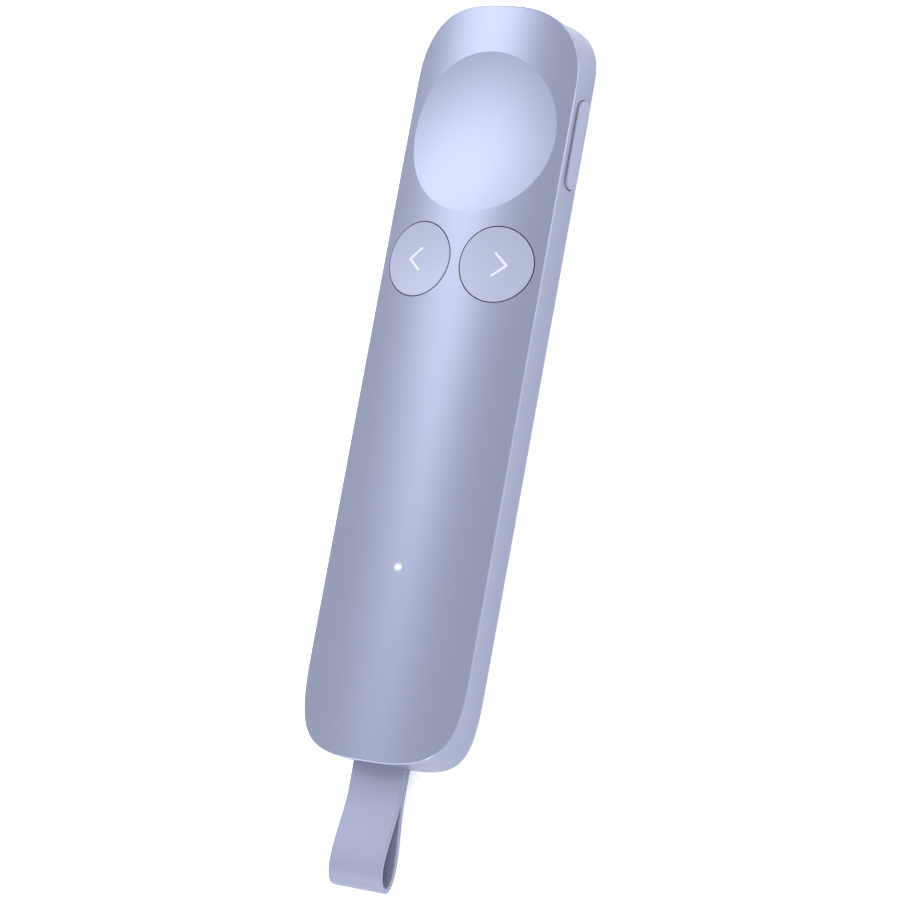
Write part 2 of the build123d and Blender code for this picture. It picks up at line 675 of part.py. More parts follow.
def make_radio_shield():
    """Pressed can over the radio, open towards the board."""
    width, depth, height = SHIELD
    can = on_board(SHIELD, 0, RADIO_Y)
    can = fillet(can.edges().filter_by(Axis.Z), SHIELD_ROUND)
    room = (width - 2 * SHIELD_METAL, depth - 2 * SHIELD_METAL, height - SHIELD_METAL)
    return can - on_board(room, 0, RADIO_Y)


def make_motion_sensor():
    return on_board(MOTION_CHIP, -SHIELD[0] / 2 - MOTION_CHIP[0] / 2, LIGHT_Y)


def make_power_chip():
    return on_board(POWER_CHIP, SHIELD[0] / 2, SCREW_TAIL)


def make_board_parts():
    """Small chip capacitors and resistors: a row each side of the radio and one by the power chip."""
    row_x = SHIELD[0] / 2 + 2 * SMALL_CHIP[0]
    places = []
    for step in (-2.5, -1.5, -0.5, 0.5, 1.5, 2.5):
        places += [(side * row_x, RADIO_Y + step * SMALL_CHIP_PITCH) for side in (-1, 1)]
        if abs(step) < 2:
            places.append((0, SCREW_TAIL + step * SMALL_CHIP_PITCH))
    return Compound([on_board(SMALL_CHIP, x, y) for x, y in places])


ANTENNA_INSET = WALL + BOARD_GAP + FIT


def make_antenna():
    """Stamped strip that stands on the board's tongue and follows the head wall."""
    foot = Pos(0, 0, BOARD_TOP - SEAM_HEIGHT)
    outer = extrude(foot * section(SEAM_HEIGHT, ANTENNA_INSET), ANTENNA_HEIGHT)
    inner = extrude(foot * section(SEAM_HEIGHT, ANTENNA_INSET + ANTENNA_METAL), ANTENNA_HEIGHT)
    reach = block(-RIB_HALF, HALF, TONGUE_END - ANTENNA_LAP, HEAD, BOARD_TOP, THICKNESS)
    return (outer - inner) & reach


# ---------------------------------------------------------------- frame, battery, screws


def make_inner_frame():
    """Ladder frame under the board: two rails, end walls round the cell, and lugs for the screws."""
    front = SCREW_FRONT + BOSS_RADIUS
    tail = CELL_TAIL - 2 * FIT
    frame = block(-RAIL_OUTER, RAIL_OUTER, tail - FRAME_WALL, front, COVER_FLOOR, BOARD_BOTTOM)
    frame -= block(-RAIL_INNER, RAIL_INNER, tail, CROSS_WALL, 0, THICKNESS)
    frame -= block(-RAIL_INNER, RAIL_INNER, CROSS_WALL + FRAME_WALL, front - FRAME_WALL, 0, THICKNESS)
    for x, y in SCREW_PLACES:
        web_x = sorted((math.copysign(RAIL_OUTER - SLIP, x), x))
        frame += post(BOSS_RADIUS, x, y, SCREW_SEAT, BOARD_BOTTOM)
        frame += block(*web_x, y - BOSS_RADIUS, y + BOSS_RADIUS, SCREW_SEAT, BOARD_BOTTOM)
        frame -= post(SCREW_RADIUS + FIT, x, y, 0, THICKNESS)
    way = LEAD_SPACING / 2 + 2 * LEAD_RADIUS + LEAD_BEND
    frame -= block(-way, way, CROSS_WALL - FIT, CROSS_WALL + FRAME_WALL + FIT, GUARD_LOW + GUARD_THICKNESS,
                   THICKNESS)
    window = (BOARD_BOTTOM - COVER_FLOOR) / 3
    for y in (CELL_TAIL + CELL_HALF, CELL_FRONT - CELL_HALF):
        frame -= block(-HALF, HALF, y - CELL_HALF / 2, y + CELL_HALF / 2, COVER_FLOOR + window,
                       BOARD_BOTTOM - window)
    return frame


def make_board_screws():
    """Identical pan-head screws, up through the frame's lugs and the board into the housing's bosses."""
    screws = []
    for x, y in SCREW_PLACES:
        head_low = SCREW_SEAT - SCREW_HEAD_HEIGHT
        head = post(SCREW_HEAD_RADIUS, x, y, head_low, SCREW_SEAT)
        head = fillet(head.edges().group_by(Axis.Z)[0], SCREW_HEAD_ROUND)
        shank = post(SCREW_RADIUS, x, y, SCREW_SEAT, SCREW_SEAT + SCREW_LENGTH)
        hexagon = Pos(x, y, head_low - OVER) * RegularPolygon(SCREW_DRIVE, 6)
        drive = extrude(hexagon, OVER + SCREW_HEAD_HEIGHT / 2)
        screws.append(head + shank - drive)
    return Compound(screws)


def make_battery_cell():
    """Flat pouch cell with rounded long edges."""
    cell = block(-CELL_HALF, CELL_HALF, CELL_TAIL, CELL_FRONT, CELL_LOW, CELL_HIGH)
    return fillet(cell.edges().filter_by(Axis.Y), (CELL_HIGH - CELL_LOW) * CELL_ROUND)


def make_battery_tape():
    wide = CELL_HALF / 2
    return block(-wide, wide, CELL_TAIL + wide, CELL_FRONT - wide, COVER_FLOOR, CELL_LOW)


def make_battery_foam():
    """Two square foam pads between the cell and the board."""
    half = CELL_HALF / 2
    ends = (CELL_TAIL + CELL_HALF, CELL_FRONT - CELL_HALF)
    return Compound([block(-half, half, y - half, y + half, CELL_HIGH, BOARD_BOTTOM) for y in ends])


def make_battery_guard():
    """Protection board at the cell's front end, lying between the rails."""
    wide = CELL_HALF - 4 * FIT
    return block(-wide, wide, CELL_FRONT + FIT, GUARD_FRONT, GUARD_LOW, GUARD_LOW + GUARD_THICKNESS)


def make_battery_connector():
    width, depth, height = BATTERY_CONNECTOR
    return Pos(0, BATTERY_CONNECTOR_Y, BOARD_BOTTOM - height / 2) * Box(width, depth, height)


def make_battery_leads():
    """Two short leads from the protection board through the frame's cross wall to the connector."""
    leads = []
    low = GUARD_LOW + GUARD_THICKNESS + LEAD_RADIUS
    high = BOARD_BOTTOM - BATTERY_CONNECTOR[2] / 2
    end = BATTERY_CONNECTOR_Y - BATTERY_CONNECTOR[1] / 2
    start = CELL_FRONT + LEAD_RADIUS + FIT
    for x in (-LEAD_SPACING / 2, LEAD_SPACING / 2):
        bends = [(x, GUARD_FRONT - LEAD_BEND, low), (x, end - 2 * LEAD_BEND, high)]
        path = FilletPolyline((x, start, low), *bends, (x, end, high), radius=LEAD_BEND)
        leads.append(sweep(Plane(path @ 0, z_dir=path % 0) * Circle(LEAD_RADIUS), path=path))
    return Compound(leads)


# ---------------------------------------------------------------- socket and bay in the tail


TAB = (1.2, 1.2, 0.25)
TONGUE = (6.6, 0.7)
TONGUE_SETBACK = 1.2


def make_charge_socket():
    """Metal shell of the reversible socket, closed at its back, with tabs on the board."""
    room_w = PLUG_WIDTH + 2 * PLUG_GAP
    room_h = PLUG_HEIGHT + 2 * PLUG_GAP
    corner = room_h * PLUG_ROUND
    shell = bar(room_w + 2 * SOCKET_METAL, room_h + 2 * SOCKET_METAL, corner + SOCKET_METAL,
                SOCKET_MOUTH, SOCKET_BACK)
    shell -= bar(room_w, room_h, corner, SOCKET_MOUTH - OVER, SOCKET_BACK - SOCKET_END)
    wide, long, thick = TAB
    for side in (-1, 1):
        x = sorted((side * (room_w / 2 + FIT), side * (SOCKET_NOTCH + wide)))
        for y in (BOARD_TAIL + SOCKET_END, SOCKET_BACK - SOCKET_END - long):
            shell += block(*x, y, y + long, BOARD_TOP, BOARD_TOP + thick)
    return shell


def make_socket_tongue():
    """Contact tongue that stands in the socket from its back."""
    wide, thick = TONGUE[0] / 2, TONGUE[1] / 2
    return block(-wide, wide, SOCKET_MOUTH + TONGUE_SETBACK, SOCKET_BACK - SOCKET_END,
                 RECEIVER_Z - thick, RECEIVER_Z + thick)


LEAF = (6.2, 1.8, 0.2)


def make_bay_sleeve():
    """Rectangular sleeve that guides the receiver, with a window in each side for a leaf spring.

    Where the face comes down on it, its corners follow the housing's inner side."""
    wide = RECEIVER_WIDTH + 2 * BAY_GAP
    tall = RECEIVER_HEIGHT + 2 * BAY_GAP
    corner = RECEIVER_CORNER + BAY_GAP
    sleeve = bar(2 * BAY_HALF, tall + 2 * SLEEVE_WALL, corner + SLEEVE_WALL, SLEEVE_TAIL, RECEIVER_FRONT)
    sleeve -= bar(wide, tall, corner, SLEEVE_TAIL - OVER, RECEIVER_FRONT + OVER)
    window = Box(WIDTH, LEAF[0] + 2 * FIT, LEAF[1] + 2 * FIT)
    return (sleeve - Pos(0, SLEEVE_MIDDLE, RECEIVER_Z) * window) & crown(WALL + FIT)


def make_bay_springs():
    """Bowed leaf in each window, just clear of the receiver's side."""
    length, width, metal = LEAF
    y0, y1 = SLEEVE_MIDDLE - length / 2, SLEEVE_MIDDLE + length / 2
    inside = RECEIVER_WIDTH / 2 + SLIP
    outside = BAY_HALF - metal
    leaves = []
    for side in (-1, 1):
        near = ThreePointArc((side * outside, y0), (side * inside, SLEEVE_MIDDLE), (side * outside, y1))
        far_x = side * (outside + metal)
        far = ThreePointArc((far_x, y0), (side * (inside + metal), SLEEVE_MIDDLE), (far_x, y1))
        leaf = make_face([near, Line(near @ 1, far @ 1), far, Line(far @ 0, near @ 0)])
        leaves.append(Pos(0, 0, RECEIVER_Z - width / 2) * extrude(leaf, width))
    return Compound(leaves)


# ---------------------------------------------------------------- receiver and strap

PIN_Y = TAIL + 3 * PIN_RADIUS
SLOT_END = PIN_Y + 2.5 * PIN_RADIUS
ROOM_TAIL = SLOT_END + RECEIVER_WALL
ROOM_FRONT = RECEIVER_FRONT - RECEIVER_WALL
PLUG_BACK = ROOM_FRONT - PLUG_SUNK
RECEIVER_BOARD = 0.6
RECEIVER_TAB = 6.8
RECEIVER_CHIP = (3.6, 2.6, 0.7)


def strap_bar(gap):
    """Upright pin through the strap's ends, larger by gap all round."""
    reach = PIN_LENGTH / 2 + gap
    return post(PIN_RADIUS + gap, 0, PIN_Y, RECEIVER_Z - reach, RECEIVER_Z + reach)


def receiver_block():
    """The receiver's casing before it is split: its end is flush with the tail wall."""
    casing = bar(RECEIVER_WIDTH, RECEIVER_HEIGHT, RECEIVER_CORNER, TAIL - OVER, RECEIVER_FRONT)
    casing &= walls(0) + rolled_foot(SEAM_HEIGHT, FOOT_HEIGHT)
    half_room = RECEIVER_WIDTH / 2 - RECEIVER_WALL
    tall = RECEIVER_HEIGHT / 2 - RECEIVER_WALL
    casing -= block(-half_room, half_room, ROOM_TAIL, ROOM_FRONT, RECEIVER_Z - tall, RECEIVER_Z + tall)
    corner = PLUG_HEIGHT * PLUG_ROUND
    casing -= bar(PLUG_WIDTH, PLUG_HEIGHT, corner, ROOM_FRONT - OVER, RECEIVER_FRONT + OVER)
    slot = STRAP_WIDTH / 2 + SLIP
    deep = STRAP_THICKNESS + SLIP
    casing -= block(-slot, slot, TAIL - OVER, SLOT_END, RECEIVER_Z - deep, RECEIVER_Z + deep)
    return casing - strap_bar(SLIP / 2)


def make_receiver_top():
    return receiver_block() & block(-HALF, HALF, -LENGTH, LENGTH, RECEIVER_Z, THICKNESS)


def make_receiver_bottom():
    return receiver_block() & block(-HALF, HALF, -LENGTH, LENGTH, 0, RECEIVER_Z)


def make_receiver_board():
    """Receiver's board with its chip; its front tab goes into the plug's shell."""
    half_room = RECEIVER_WIDTH / 2 - RECEIVER_WALL - FIT
    low, high = RECEIVER_Z - RECEIVER_BOARD / 2, RECEIVER_Z + RECEIVER_BOARD / 2
    board = block(-half_room, half_room, ROOM_TAIL + FIT, PLUG_BACK - FIT, low, high)
    board += block(-RECEIVER_TAB / 2, RECEIVER_TAB / 2, PLUG_BACK - OVER, ROOM_FRONT, low, high)
    width, depth, height = RECEIVER_CHIP
    chip_y = (ROOM_TAIL + PLUG_BACK) / 2
    return board + Pos(0, chip_y, high + height / 2) * Box(width, depth, height)


def make_receiver_plug():
    """Drawn metal shell of the plug."""
    end = RECEIVER_FRONT + PLUG_LENGTH
    corner = PLUG_HEIGHT * PLUG_ROUND
    shell = bar(PLUG_WIDTH, PLUG_HEIGHT, corner, PLUG_BACK, end)
    room_w, room_h = PLUG_WIDTH - 2 * PLUG_METAL, PLUG_HEIGHT - 2 * PLUG_METAL
    return shell - bar(room_w, room_h, corner - PLUG_METAL, PLUG_BACK - OVER, end + OVER)


def make_strap_pin():
    return strap_bar(0)


TEAR_POWER = 2.4
TEAR_PEAK = 0.615
TEAR_STEP = 15


def strap_loop(thickness):
    """Points round the loop at a distance from its inner face, from where it parts over its end and back."""
    parting = TAIL - STRAP_CLOSED
    reach = STRAP_REACH - STRAP_CLOSED - STRAP_THICKNESS
    points = []
    for angle in range(TEAR_STEP, 360, TEAR_STEP):
        turn = math.radians(angle)
        swell = math.sin(turn) * math.sin(turn / 2) ** TEAR_POWER / TEAR_PEAK
        bulge = STRAP_RISE if swell > 0 else STRAP_FALL
        points.append((parting - reach * (1 - math.cos(turn)) / 2, RECEIVER_Z + bulge * swell))
    moved = []
    for before, here, after in zip(points, points[1:], points[2:]):
        along_y, along_z = after[0] - before[0], after[1] - before[1]
        size = math.hypot(along_y, along_z)
        moved.append((here[0] + thickness * along_z / size, here[1] - thickness * along_y / size))
    start = (parting, RECEIVER_Z + thickness)
    finish = (parting, RECEIVER_Z - thickness)
    return [(0, y, z) for y, z in [start] + moved + [finish]]


def make_strap():
    """Flat strap folded to a teardrop loop; its ends lie on each other and are held in the receiver."""
    outer = Spline(*strap_loop(STRAP_THICKNESS), tangents=[(0, -1, 0), (0, 1, 0)])
    inner = Spline(*strap_loop(0), tangents=[(0, -1, 0), (0, 1, 0)])
    band = make_face([outer, Line(outer @ 1, outer @ 0)]) - make_face(inner)
    held = SLOT_END - FIT
    low, high = RECEIVER_Z - STRAP_THICKNESS, RECEIVER_Z + STRAP_THICKNESS
    half = STRAP_WIDTH / 2
    strap = Pos(-half, 0, 0) * extrude(band, STRAP_WIDTH, dir=(1, 0, 0))
    strap += block(-half, half, TAIL - STRAP_CLOSED, held, low, high)
    return strap - strap_bar(SLIP / 2)


# ---------------------------------------------------------------- all pieces

PIECES = {
    "top_housing": make_top_housing,
    "bottom_cover": make_bottom_cover,
    "back_button": lambda: make_cap(-1),
    "next_button": lambda: make_cap(1),
    "back_switch": lambda: make_switch(-1),
    "next_switch": lambda: make_switch(1),
    "back_plunger": lambda: make_plunger(-1),
    "next_plunger": lambda: make_plunger(1),
    "side_button": make_side_button,
    "side_switch": make_side_switch,
    "side_plunger": make_side_plunger,
    "reset_switch": make_reset_switch,
    "reset_plunger": make_reset_plunger,
    "light_pipe": make_light_pipe,
    "status_led": make_status_led,
    "pad_sensor": make_pad_sensor,
    "pad_flex": make_pad_flex,
    "pad_connector": make_pad_connector,
    "haptic_motor": make_haptic_motor,
    "motor_tape": make_motor_tape,
    "main_board": make_main_board,
    "radio_chip": make_radio_chip,
    "radio_shield": make_radio_shield,
    "motion_sensor": make_motion_sensor,
    "power_chip": make_power_chip,
    "board_parts": make_board_parts,
    "antenna": make_antenna,
    "inner_frame": make_inner_frame,
    "board_screws": make_board_screws,
    "battery_cell": make_battery_cell,
    "battery_tape": make_battery_tape,
    "battery_foam": make_battery_foam,
    "battery_guard": make_battery_guard,
    "battery_connector": make_battery_connector,
    "battery_leads": make_battery_leads,
    "charge_socket": make_charge_socket,
    "socket_tongue": make_socket_tongue,
    "bay_sleeve": make_bay_sleeve,
    "bay_springs": make_bay_springs,
    "receiver_top": make_receiver_top,
    "receiver_bottom": make_receiver_bottom,
    "receiver_board": make_receiver_board,
    "receiver_plug": make_receiver_plug,
    "strap_pin": make_strap_pin,
    "strap": make_strap,
}

os.makedirs("parts", exist_ok=True)
for name, make in PIECES.items():
    export_step(make(), f"parts/{name}.step")
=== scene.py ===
import math

import bmesh
import bpy
from mathutils import Matrix, Vector
from mathutils.kdtree import KDTree


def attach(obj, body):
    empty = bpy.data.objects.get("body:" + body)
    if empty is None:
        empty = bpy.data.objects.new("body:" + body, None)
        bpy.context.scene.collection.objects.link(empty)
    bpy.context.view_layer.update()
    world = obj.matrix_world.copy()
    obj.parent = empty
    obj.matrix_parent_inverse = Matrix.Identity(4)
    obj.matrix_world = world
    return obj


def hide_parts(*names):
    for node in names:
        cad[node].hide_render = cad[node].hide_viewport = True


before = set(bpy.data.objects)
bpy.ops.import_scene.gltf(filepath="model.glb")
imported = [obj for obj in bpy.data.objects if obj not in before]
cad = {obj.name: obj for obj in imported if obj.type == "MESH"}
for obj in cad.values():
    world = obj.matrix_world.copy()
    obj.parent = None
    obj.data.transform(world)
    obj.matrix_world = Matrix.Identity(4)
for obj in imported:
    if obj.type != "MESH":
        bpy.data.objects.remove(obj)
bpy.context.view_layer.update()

# ------------------------------------------------------------------------------------------------
# Top housing: crowned face and side walls in one injection-moulded shell of satin lilac ABS, with a
# saddle-shaped dish, snapped over the bottom cover. The mould's grain stops short of the small
# round between face and wall, so it is glossier there, and its colour there is made lighter as a
# painted highlight. Round the light pipe the shell has a painted glow.

THICKNESS = 0.011
FOOT = 0.003
ROLL = 0.0029
SEAM = 0.0022
SEAM_BREAK = 0.00007
HALF_WIDTH = 0.0158
HALF_LENGTH = 0.06565
WALL = 0.0013
CROWN_RADIUS = 0.043
CREASE_RADIUS = 0.0003
FACE_END = (0.0172, 3.05)
HEAD_FOOT = (0.0112, 2.77)
TAIL_FOOT = (0.0208, 4.9)
DISH_RADIUS = 0.0142
DISH_Y = 0.0432
DISH_HOLLOW = 0.51
DISH_DEPTH = DISH_HOLLOW * DISH_RADIUS**2 / (2 * CROWN_RADIUS)
LIGHT_PLACE = (0.0, -0.0327, THICKNESS)

LILAC = (0.227, 0.250, 0.356)
PEARL = 0.5
CLOUD = {"Scale": 60.0, "Detail": 3.0}
CLOUD_SHADE = 0.025
CLOUD_GLOSS = 0.04
PIT_SIZE = 0.00022
PITS = {"Scale": 1 / PIT_SIZE, "Detail": 2.0}
PIT_RELIEF = 0.0000025
PIT_STRENGTH = 0.35
SHELL_ROUGHNESS = 0.34
# Painted highlight: how much lighter the colour is on the small round between face and wall.
CREASE_HIGHLIGHT_GAIN = 1.35
CREASE_GLOSS = 0.14
# Painted glow: a faint emission on the shell round the light pipe, standing in for the LED's light
# through the plastic.
BLEED_START = 0.0005
BLEED_END = 0.0012
BLEED_COLOUR = (0.22, 0.23, 0.22)


class Knob:
    """One output in a node tree: arithmetic on it adds Math nodes, node() adds any other kind."""

    def __init__(self, tree, socket):
        self.tree = tree
        self.socket = socket

    def node(self, kind, inputs, output=0, **settings):
        """Adds a node, sets it, then fills its sockets with values or other nodes' outputs."""
        added = self.tree.nodes.new(kind)
        for name, value in settings.items():
            setattr(added, name, value)
        for key, value in inputs.items():
            if isinstance(value, Knob):
                self.tree.links.new(value.socket, added.inputs[key])
            else:
                added.inputs[key].default_value = value
        return Knob(self.tree, added.outputs[output])

    def other(self, output):
        """Another output of the same node."""
        return Knob(self.tree, self.socket.node.outputs[output])

    def feeds(self, socket):
        """Links this output to a socket."""
        self.tree.links.new(self.socket, socket)

    def maths(self, operation, *values):
        """A Math node on these values."""
        return self.node("ShaderNodeMath", dict(enumerate(values)), operation=operation)

    def __add__(self, other):
        return self.maths("ADD", self, other)

    __radd__ = __add__

    def __mul__(self, other):
        return self.maths("MULTIPLY", self, other)

    __rmul__ = __mul__

    def __sub__(self, other):
        return self.maths("SUBTRACT", self, other)

    def __rsub__(self, other):
        return self.maths("SUBTRACT", other, self)

    def __truediv__(self, other):
        return self.maths("DIVIDE", self, other)

    def __rtruediv__(self, other):
        return self.maths("DIVIDE", other, self)

    def __pow__(self, other):
        return self.maths("POWER", self, other)


def new_finish(name):
    """Material of that name, its shader, and the piece's own coordinates in metres."""
    finish = bpy.data.materials.new(name)
    finish.use_nodes = True
    tree = finish.node_tree
    shader = tree.nodes["Principled BSDF"]
    place = Knob(tree, tree.nodes.new("ShaderNodeTexCoord").outputs["Object"])
    return finish, shader, place


def mixed(factor, low, high):
    """Colour between two outputs, by a factor from 0 to 1."""
    return factor.node("ShaderNodeMix", {0: factor, 6: low, 7: high}, output=2, data_type="RGBA")


def tinted(factor, low, high):
    """Colour between two fixed ones, by a factor from 0 to 1."""
    return mixed(factor, (*low, 1.0), (*high, 1.0))


def moulding(name, pearl):
    """Pearly plastic from a spark-eroded mould, with slow cloud and fine pits, not yet coloured."""
    finish, shader, place = new_finish(name)
    cloud = place.node("ShaderNodeTexNoise", {"Vector": place, **CLOUD})
    pits = place.node("ShaderNodeTexNoise", {"Vector": place, **PITS})
    relief = {"Strength": PIT_STRENGTH, "Distance": PIT_RELIEF, "Height": pits}
    place.node("ShaderNodeBump", relief).feeds(shader.inputs["Normal"])
    shader.inputs["Metallic"].default_value = pearl
    return finish, shader, place, cloud, pits


def clouded(cloud, colour, gain=1.0):
    """That colour, a little darker and lighter with the cloud."""
    darker = [c * gain * (1 - CLOUD_SHADE) for c in colour]
    lighter = [c * gain * (1 + CLOUD_SHADE) for c in colour]
    return tinted(cloud, darker, lighter)


def distance_to(place, spot):
    """How far each point is from a spot, in metres."""
    ends = {0: place, 1: spot}
    return place.node("ShaderNodeVectorMath", ends, output="Value", operation="DISTANCE")


def fading(amount, start, end):
    """1 where the amount is below the start, 0 where it is past the end."""
    limits = {"Value": amount, "From Min": start, "From Max": end, "To Min": 1.0, "To Max": 0.0}
    return amount.node("ShaderNodeMapRange", limits)


def across(angle, foot, rise, inset=0.0):
    """Point on the head half of the outline, which turns from the foot's curve into the face's."""
    ends = []
    for depth, power in (foot, FACE_END):
        c, s = math.cos(angle), math.sin(angle)
        reach = (abs(c) ** power + s**power) ** (-1 / power)
        slope_x = math.copysign(abs(c * reach) ** (power - 1) / HALF_WIDTH, c)
        slope_y = (s * reach) ** (power - 1) / depth
        steep = math.hypot(slope_x, slope_y)
        x = HALF_WIDTH * c * reach - inset * slope_x / steep
        y = HALF_LENGTH - depth + depth * s * reach - inset * slope_y / steep
        ends.append(Vector((x, y)))
    return ends[0].lerp(ends[1], rise)


def on_wall(angle, level, tail):
    """Point on the outside: level 0 is the wall's foot, 1 the face, -1 the end of the roll."""
    foot = TAIL_FOOT if tail else HEAD_FOOT
    roll = max(-level, 0.0) * math.pi / 2
    rise = max(level, 0.0)
    x, y = across(angle, foot, rise, ROLL * (1 - math.cos(roll)))
    z = FOOT + rise * (THICKNESS - FOOT) if level > 0 else ROLL * (1 - math.sin(roll))
    return Vector((x, -y if tail else y, z))


WALL_TURNS = 600
WALL_LEVELS = [step / 9 for step in range(-9, 0)] + [step / 6 for step in range(7)]
NUDGE = 0.001
wall_tree = KDTree(2 * (WALL_TURNS + 1) * len(WALL_LEVELS))
wall_slopes = []
for tail in (False, True):
    for turn in range(WALL_TURNS + 1):
        angle = min(max(math.pi * turn / WALL_TURNS, 2 * NUDGE), math.pi - 2 * NUDGE)
        for level in WALL_LEVELS:
            along = on_wall(angle + NUDGE, level, tail) - on_wall(angle - NUDGE, level, tail)
            up = on_wall(angle, level + 10 * NUDGE, tail) - on_wall(angle, level - 10 * NUDGE, tail)
            wall_tree.insert(on_wall(angle, level, tail), len(wall_slopes))
            wall_slopes.append(along.cross(up).normalized() * (-1.0 if tail else 1.0))
wall_tree.balance()

TOUCHING = 6e-6
CREASE_START = CREASE_RADIUS / 600
CREASE_TO_WALL = 0.0011
CREASE_SHARE = 0.97
WALL_NEAR = 0.0007
WALL_OFF = 0.00004
SADDLE_REACH = 1.2


def crease_slope(place):
    """Normal of the small round that joins the face to the side wall, where a point lies on it."""
    up = Vector((place.x, 0.0, place.z - THICKNESS + CROWN_RADIUS))
    below = CROWN_RADIUS - up.length
    near, index, distance = wall_tree.find(place)
    if not CREASE_START < below < CREASE_RADIUS or distance > CREASE_TO_WALL:
        return None
    turned = math.acos(1 - below / CREASE_RADIUS) / up.angle(wall_slopes[index])
    return up.normalized().slerp(wall_slopes[index], turned) if turned < CREASE_SHARE else None


def wall_slope(place):
    """Normal of the side wall or of the rolled edge under it, where a point lies on them."""
    if place.z > THICKNESS:
        return None
    sine = 1 - min(place.z, ROLL) / ROLL
    cosine = math.sqrt(1 - sine**2)
    if abs(abs(place.x) - HALF_WIDTH + ROLL * (1 - cosine)) < TOUCHING * 2:
        return Vector((math.copysign(cosine, place.x), 0.0, -sine))
    near, index, distance = wall_tree.find(place)
    off = abs(wall_slopes[index].dot(place - near))
    return wall_slopes[index] if distance < WALL_NEAR and off < WALL_OFF else None


def crown_slope(drop=0.0):
    """Normal of the crowned face, or of its inner side, where a point lies on it."""

    def slope(place):
        up = Vector((place.x, 0.0, place.z - THICKNESS + CROWN_RADIUS))
        return up.normalized() if abs(up.length - CROWN_RADIUS + drop) < 2 * TOUCHING else None

    return slope


def saddle_slope(radius, depth, y, drop=0.0, turn=0.0, lift=0.0):
    """Normal of a saddle cut in the crown: hollow along Y, domed along X."""
    dome = 1 / (1 / CROWN_RADIUS - 2 * depth / radius**2) - drop
    axis_z = THICKNESS - depth + radius**2 / (2 * depth)
    pivot = THICKNESS - CROWN_RADIUS
    lean = Matrix.Rotation(turn, 3, "Y")

    def slope(place):
        flat = lean.transposed() @ Vector((place.x, 0.0, place.z - pivot))
        x, z = flat.x, flat.z + pivot - lift
        if max(abs(x), abs(place.y - y)) > SADDLE_REACH * radius:
            return None
        side = math.sqrt(dome**2 - x**2)
        hollow = math.hypot(place.y - y, z - axis_z)
        if abs(hollow - (axis_z - (THICKNESS - depth - drop - dome + side))) > TOUCHING:
            return None
        out = Vector((x / side, -(place.y - y) / hollow, (axis_z - z) / hollow))
        return lean @ out.normalized()

    return slope


def ring_slope(x, y, radius):
    """Normal of an upright round wall."""

    def slope(place):
        out = Vector((place.x - x, place.y - y, 0.0))
        return out.normalized() if abs(out.length - radius) < TOUCHING else None

    return slope


WELD = 2e-7
CUT_WELD = 1e-8
LARGEST_LEAN = math.radians(24.0)
EVEN = 0.0003


def broken_seam(work, level):
    """Takes the sharp corner off the parting line, from that level to the seam, as a mould does."""
    everything = work.verts[:] + work.edges[:] + work.faces[:]
    cut = {"plane_co": (0, 0, level), "plane_no": (0, 0, 1)}
    bmesh.ops.bisect_plane(work, geom=everything, dist=CUT_WELD, **cut)
    for corner in work.verts:
        slope = wall_slope(corner.co) if abs(corner.co.z - SEAM) < TOUCHING else None
        if slope is not None:
            corner.co -= SEAM_BREAK * Vector((slope.x, slope.y, 0.0)).normalized()


def smooth_piece(node, slopes, sharp=45.0, seam_side=0):
    """The CAD piece as one closed mesh whose curved faces are shaded by their true normals."""
    mesh = cad[node].data.copy()
    work = bmesh.new()
    work.from_mesh(mesh)
    bmesh.ops.remove_doubles(work, verts=work.verts, dist=WELD)
    if seam_side:
        broken_seam(work, SEAM + seam_side * SEAM_BREAK)
    work.to_mesh(mesh)
    work.free()
    mesh.shade_smooth()
    mesh.set_sharp_from_angle(angle=math.radians(sharp))
    known = [[slope(corner.co) for slope in slopes] for corner in mesh.vertices]
    normals, rounded = [], []
    for face in mesh.polygons:
        for corner in face.vertices:
            best, chosen, on_crease = math.cos(LARGEST_LEAN), Vector((0.0, 0.0, 0.0)), 0.0
            for slope, normal in zip(slopes, known[corner]):
                if normal is not None:
                    match = normal.dot(face.normal)
                    if abs(match) > best + EVEN:
                        best, chosen = abs(match), normal * math.copysign(1.0, match)
                        on_crease = float(slope is crease_slope)
            normals.append(chosen)
            rounded.append(on_crease)
    mesh.normals_split_custom_set(normals)
    mesh.attributes.new("crease", "FLOAT", "CORNER").data.foreach_set("value", rounded)
    name = "fine_" + node
    mesh.name = name
    piece = bpy.data.objects.new(name, mesh)
    bpy.context.scene.collection.objects.link(piece)
    mesh.materials.clear()
    return piece


def fitted(piece, body, finish, node):
    """Puts a piece on its body in place of its CAD node."""
    piece.data.materials.append(finish)
    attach(piece, body)
    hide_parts(node)


shell_satin, shader, place, cloud, _ = moulding("shell_satin", PEARL)
crease = place.node("ShaderNodeAttribute", {}, output="Fac", attribute_name="crease")
# Painted highlight: the base colour is made lighter where the crease attribute marks the small
# round between face and wall.
painted_light_tone = mixed(crease, clouded(cloud, LILAC), clouded(cloud, LILAC, CREASE_HIGHLIGHT_GAIN))
painted_light_tone.feeds(shader.inputs["Base Color"])
(cloud * CLOUD_GLOSS + SHELL_ROUGHNESS - crease * CREASE_GLOSS).feeds(shader.inputs["Roughness"])
# Painted glow: the shell emits a faint light close round the light pipe.
bleed = fading(distance_to(place, LIGHT_PLACE), BLEED_START, BLEED_END)
tinted(bleed**2.0, (0.0, 0.0, 0.0), BLEED_COLOUR).feeds(shader.inputs["Emission Color"])
shader.inputs["Emission Strength"].default_value = 1.0

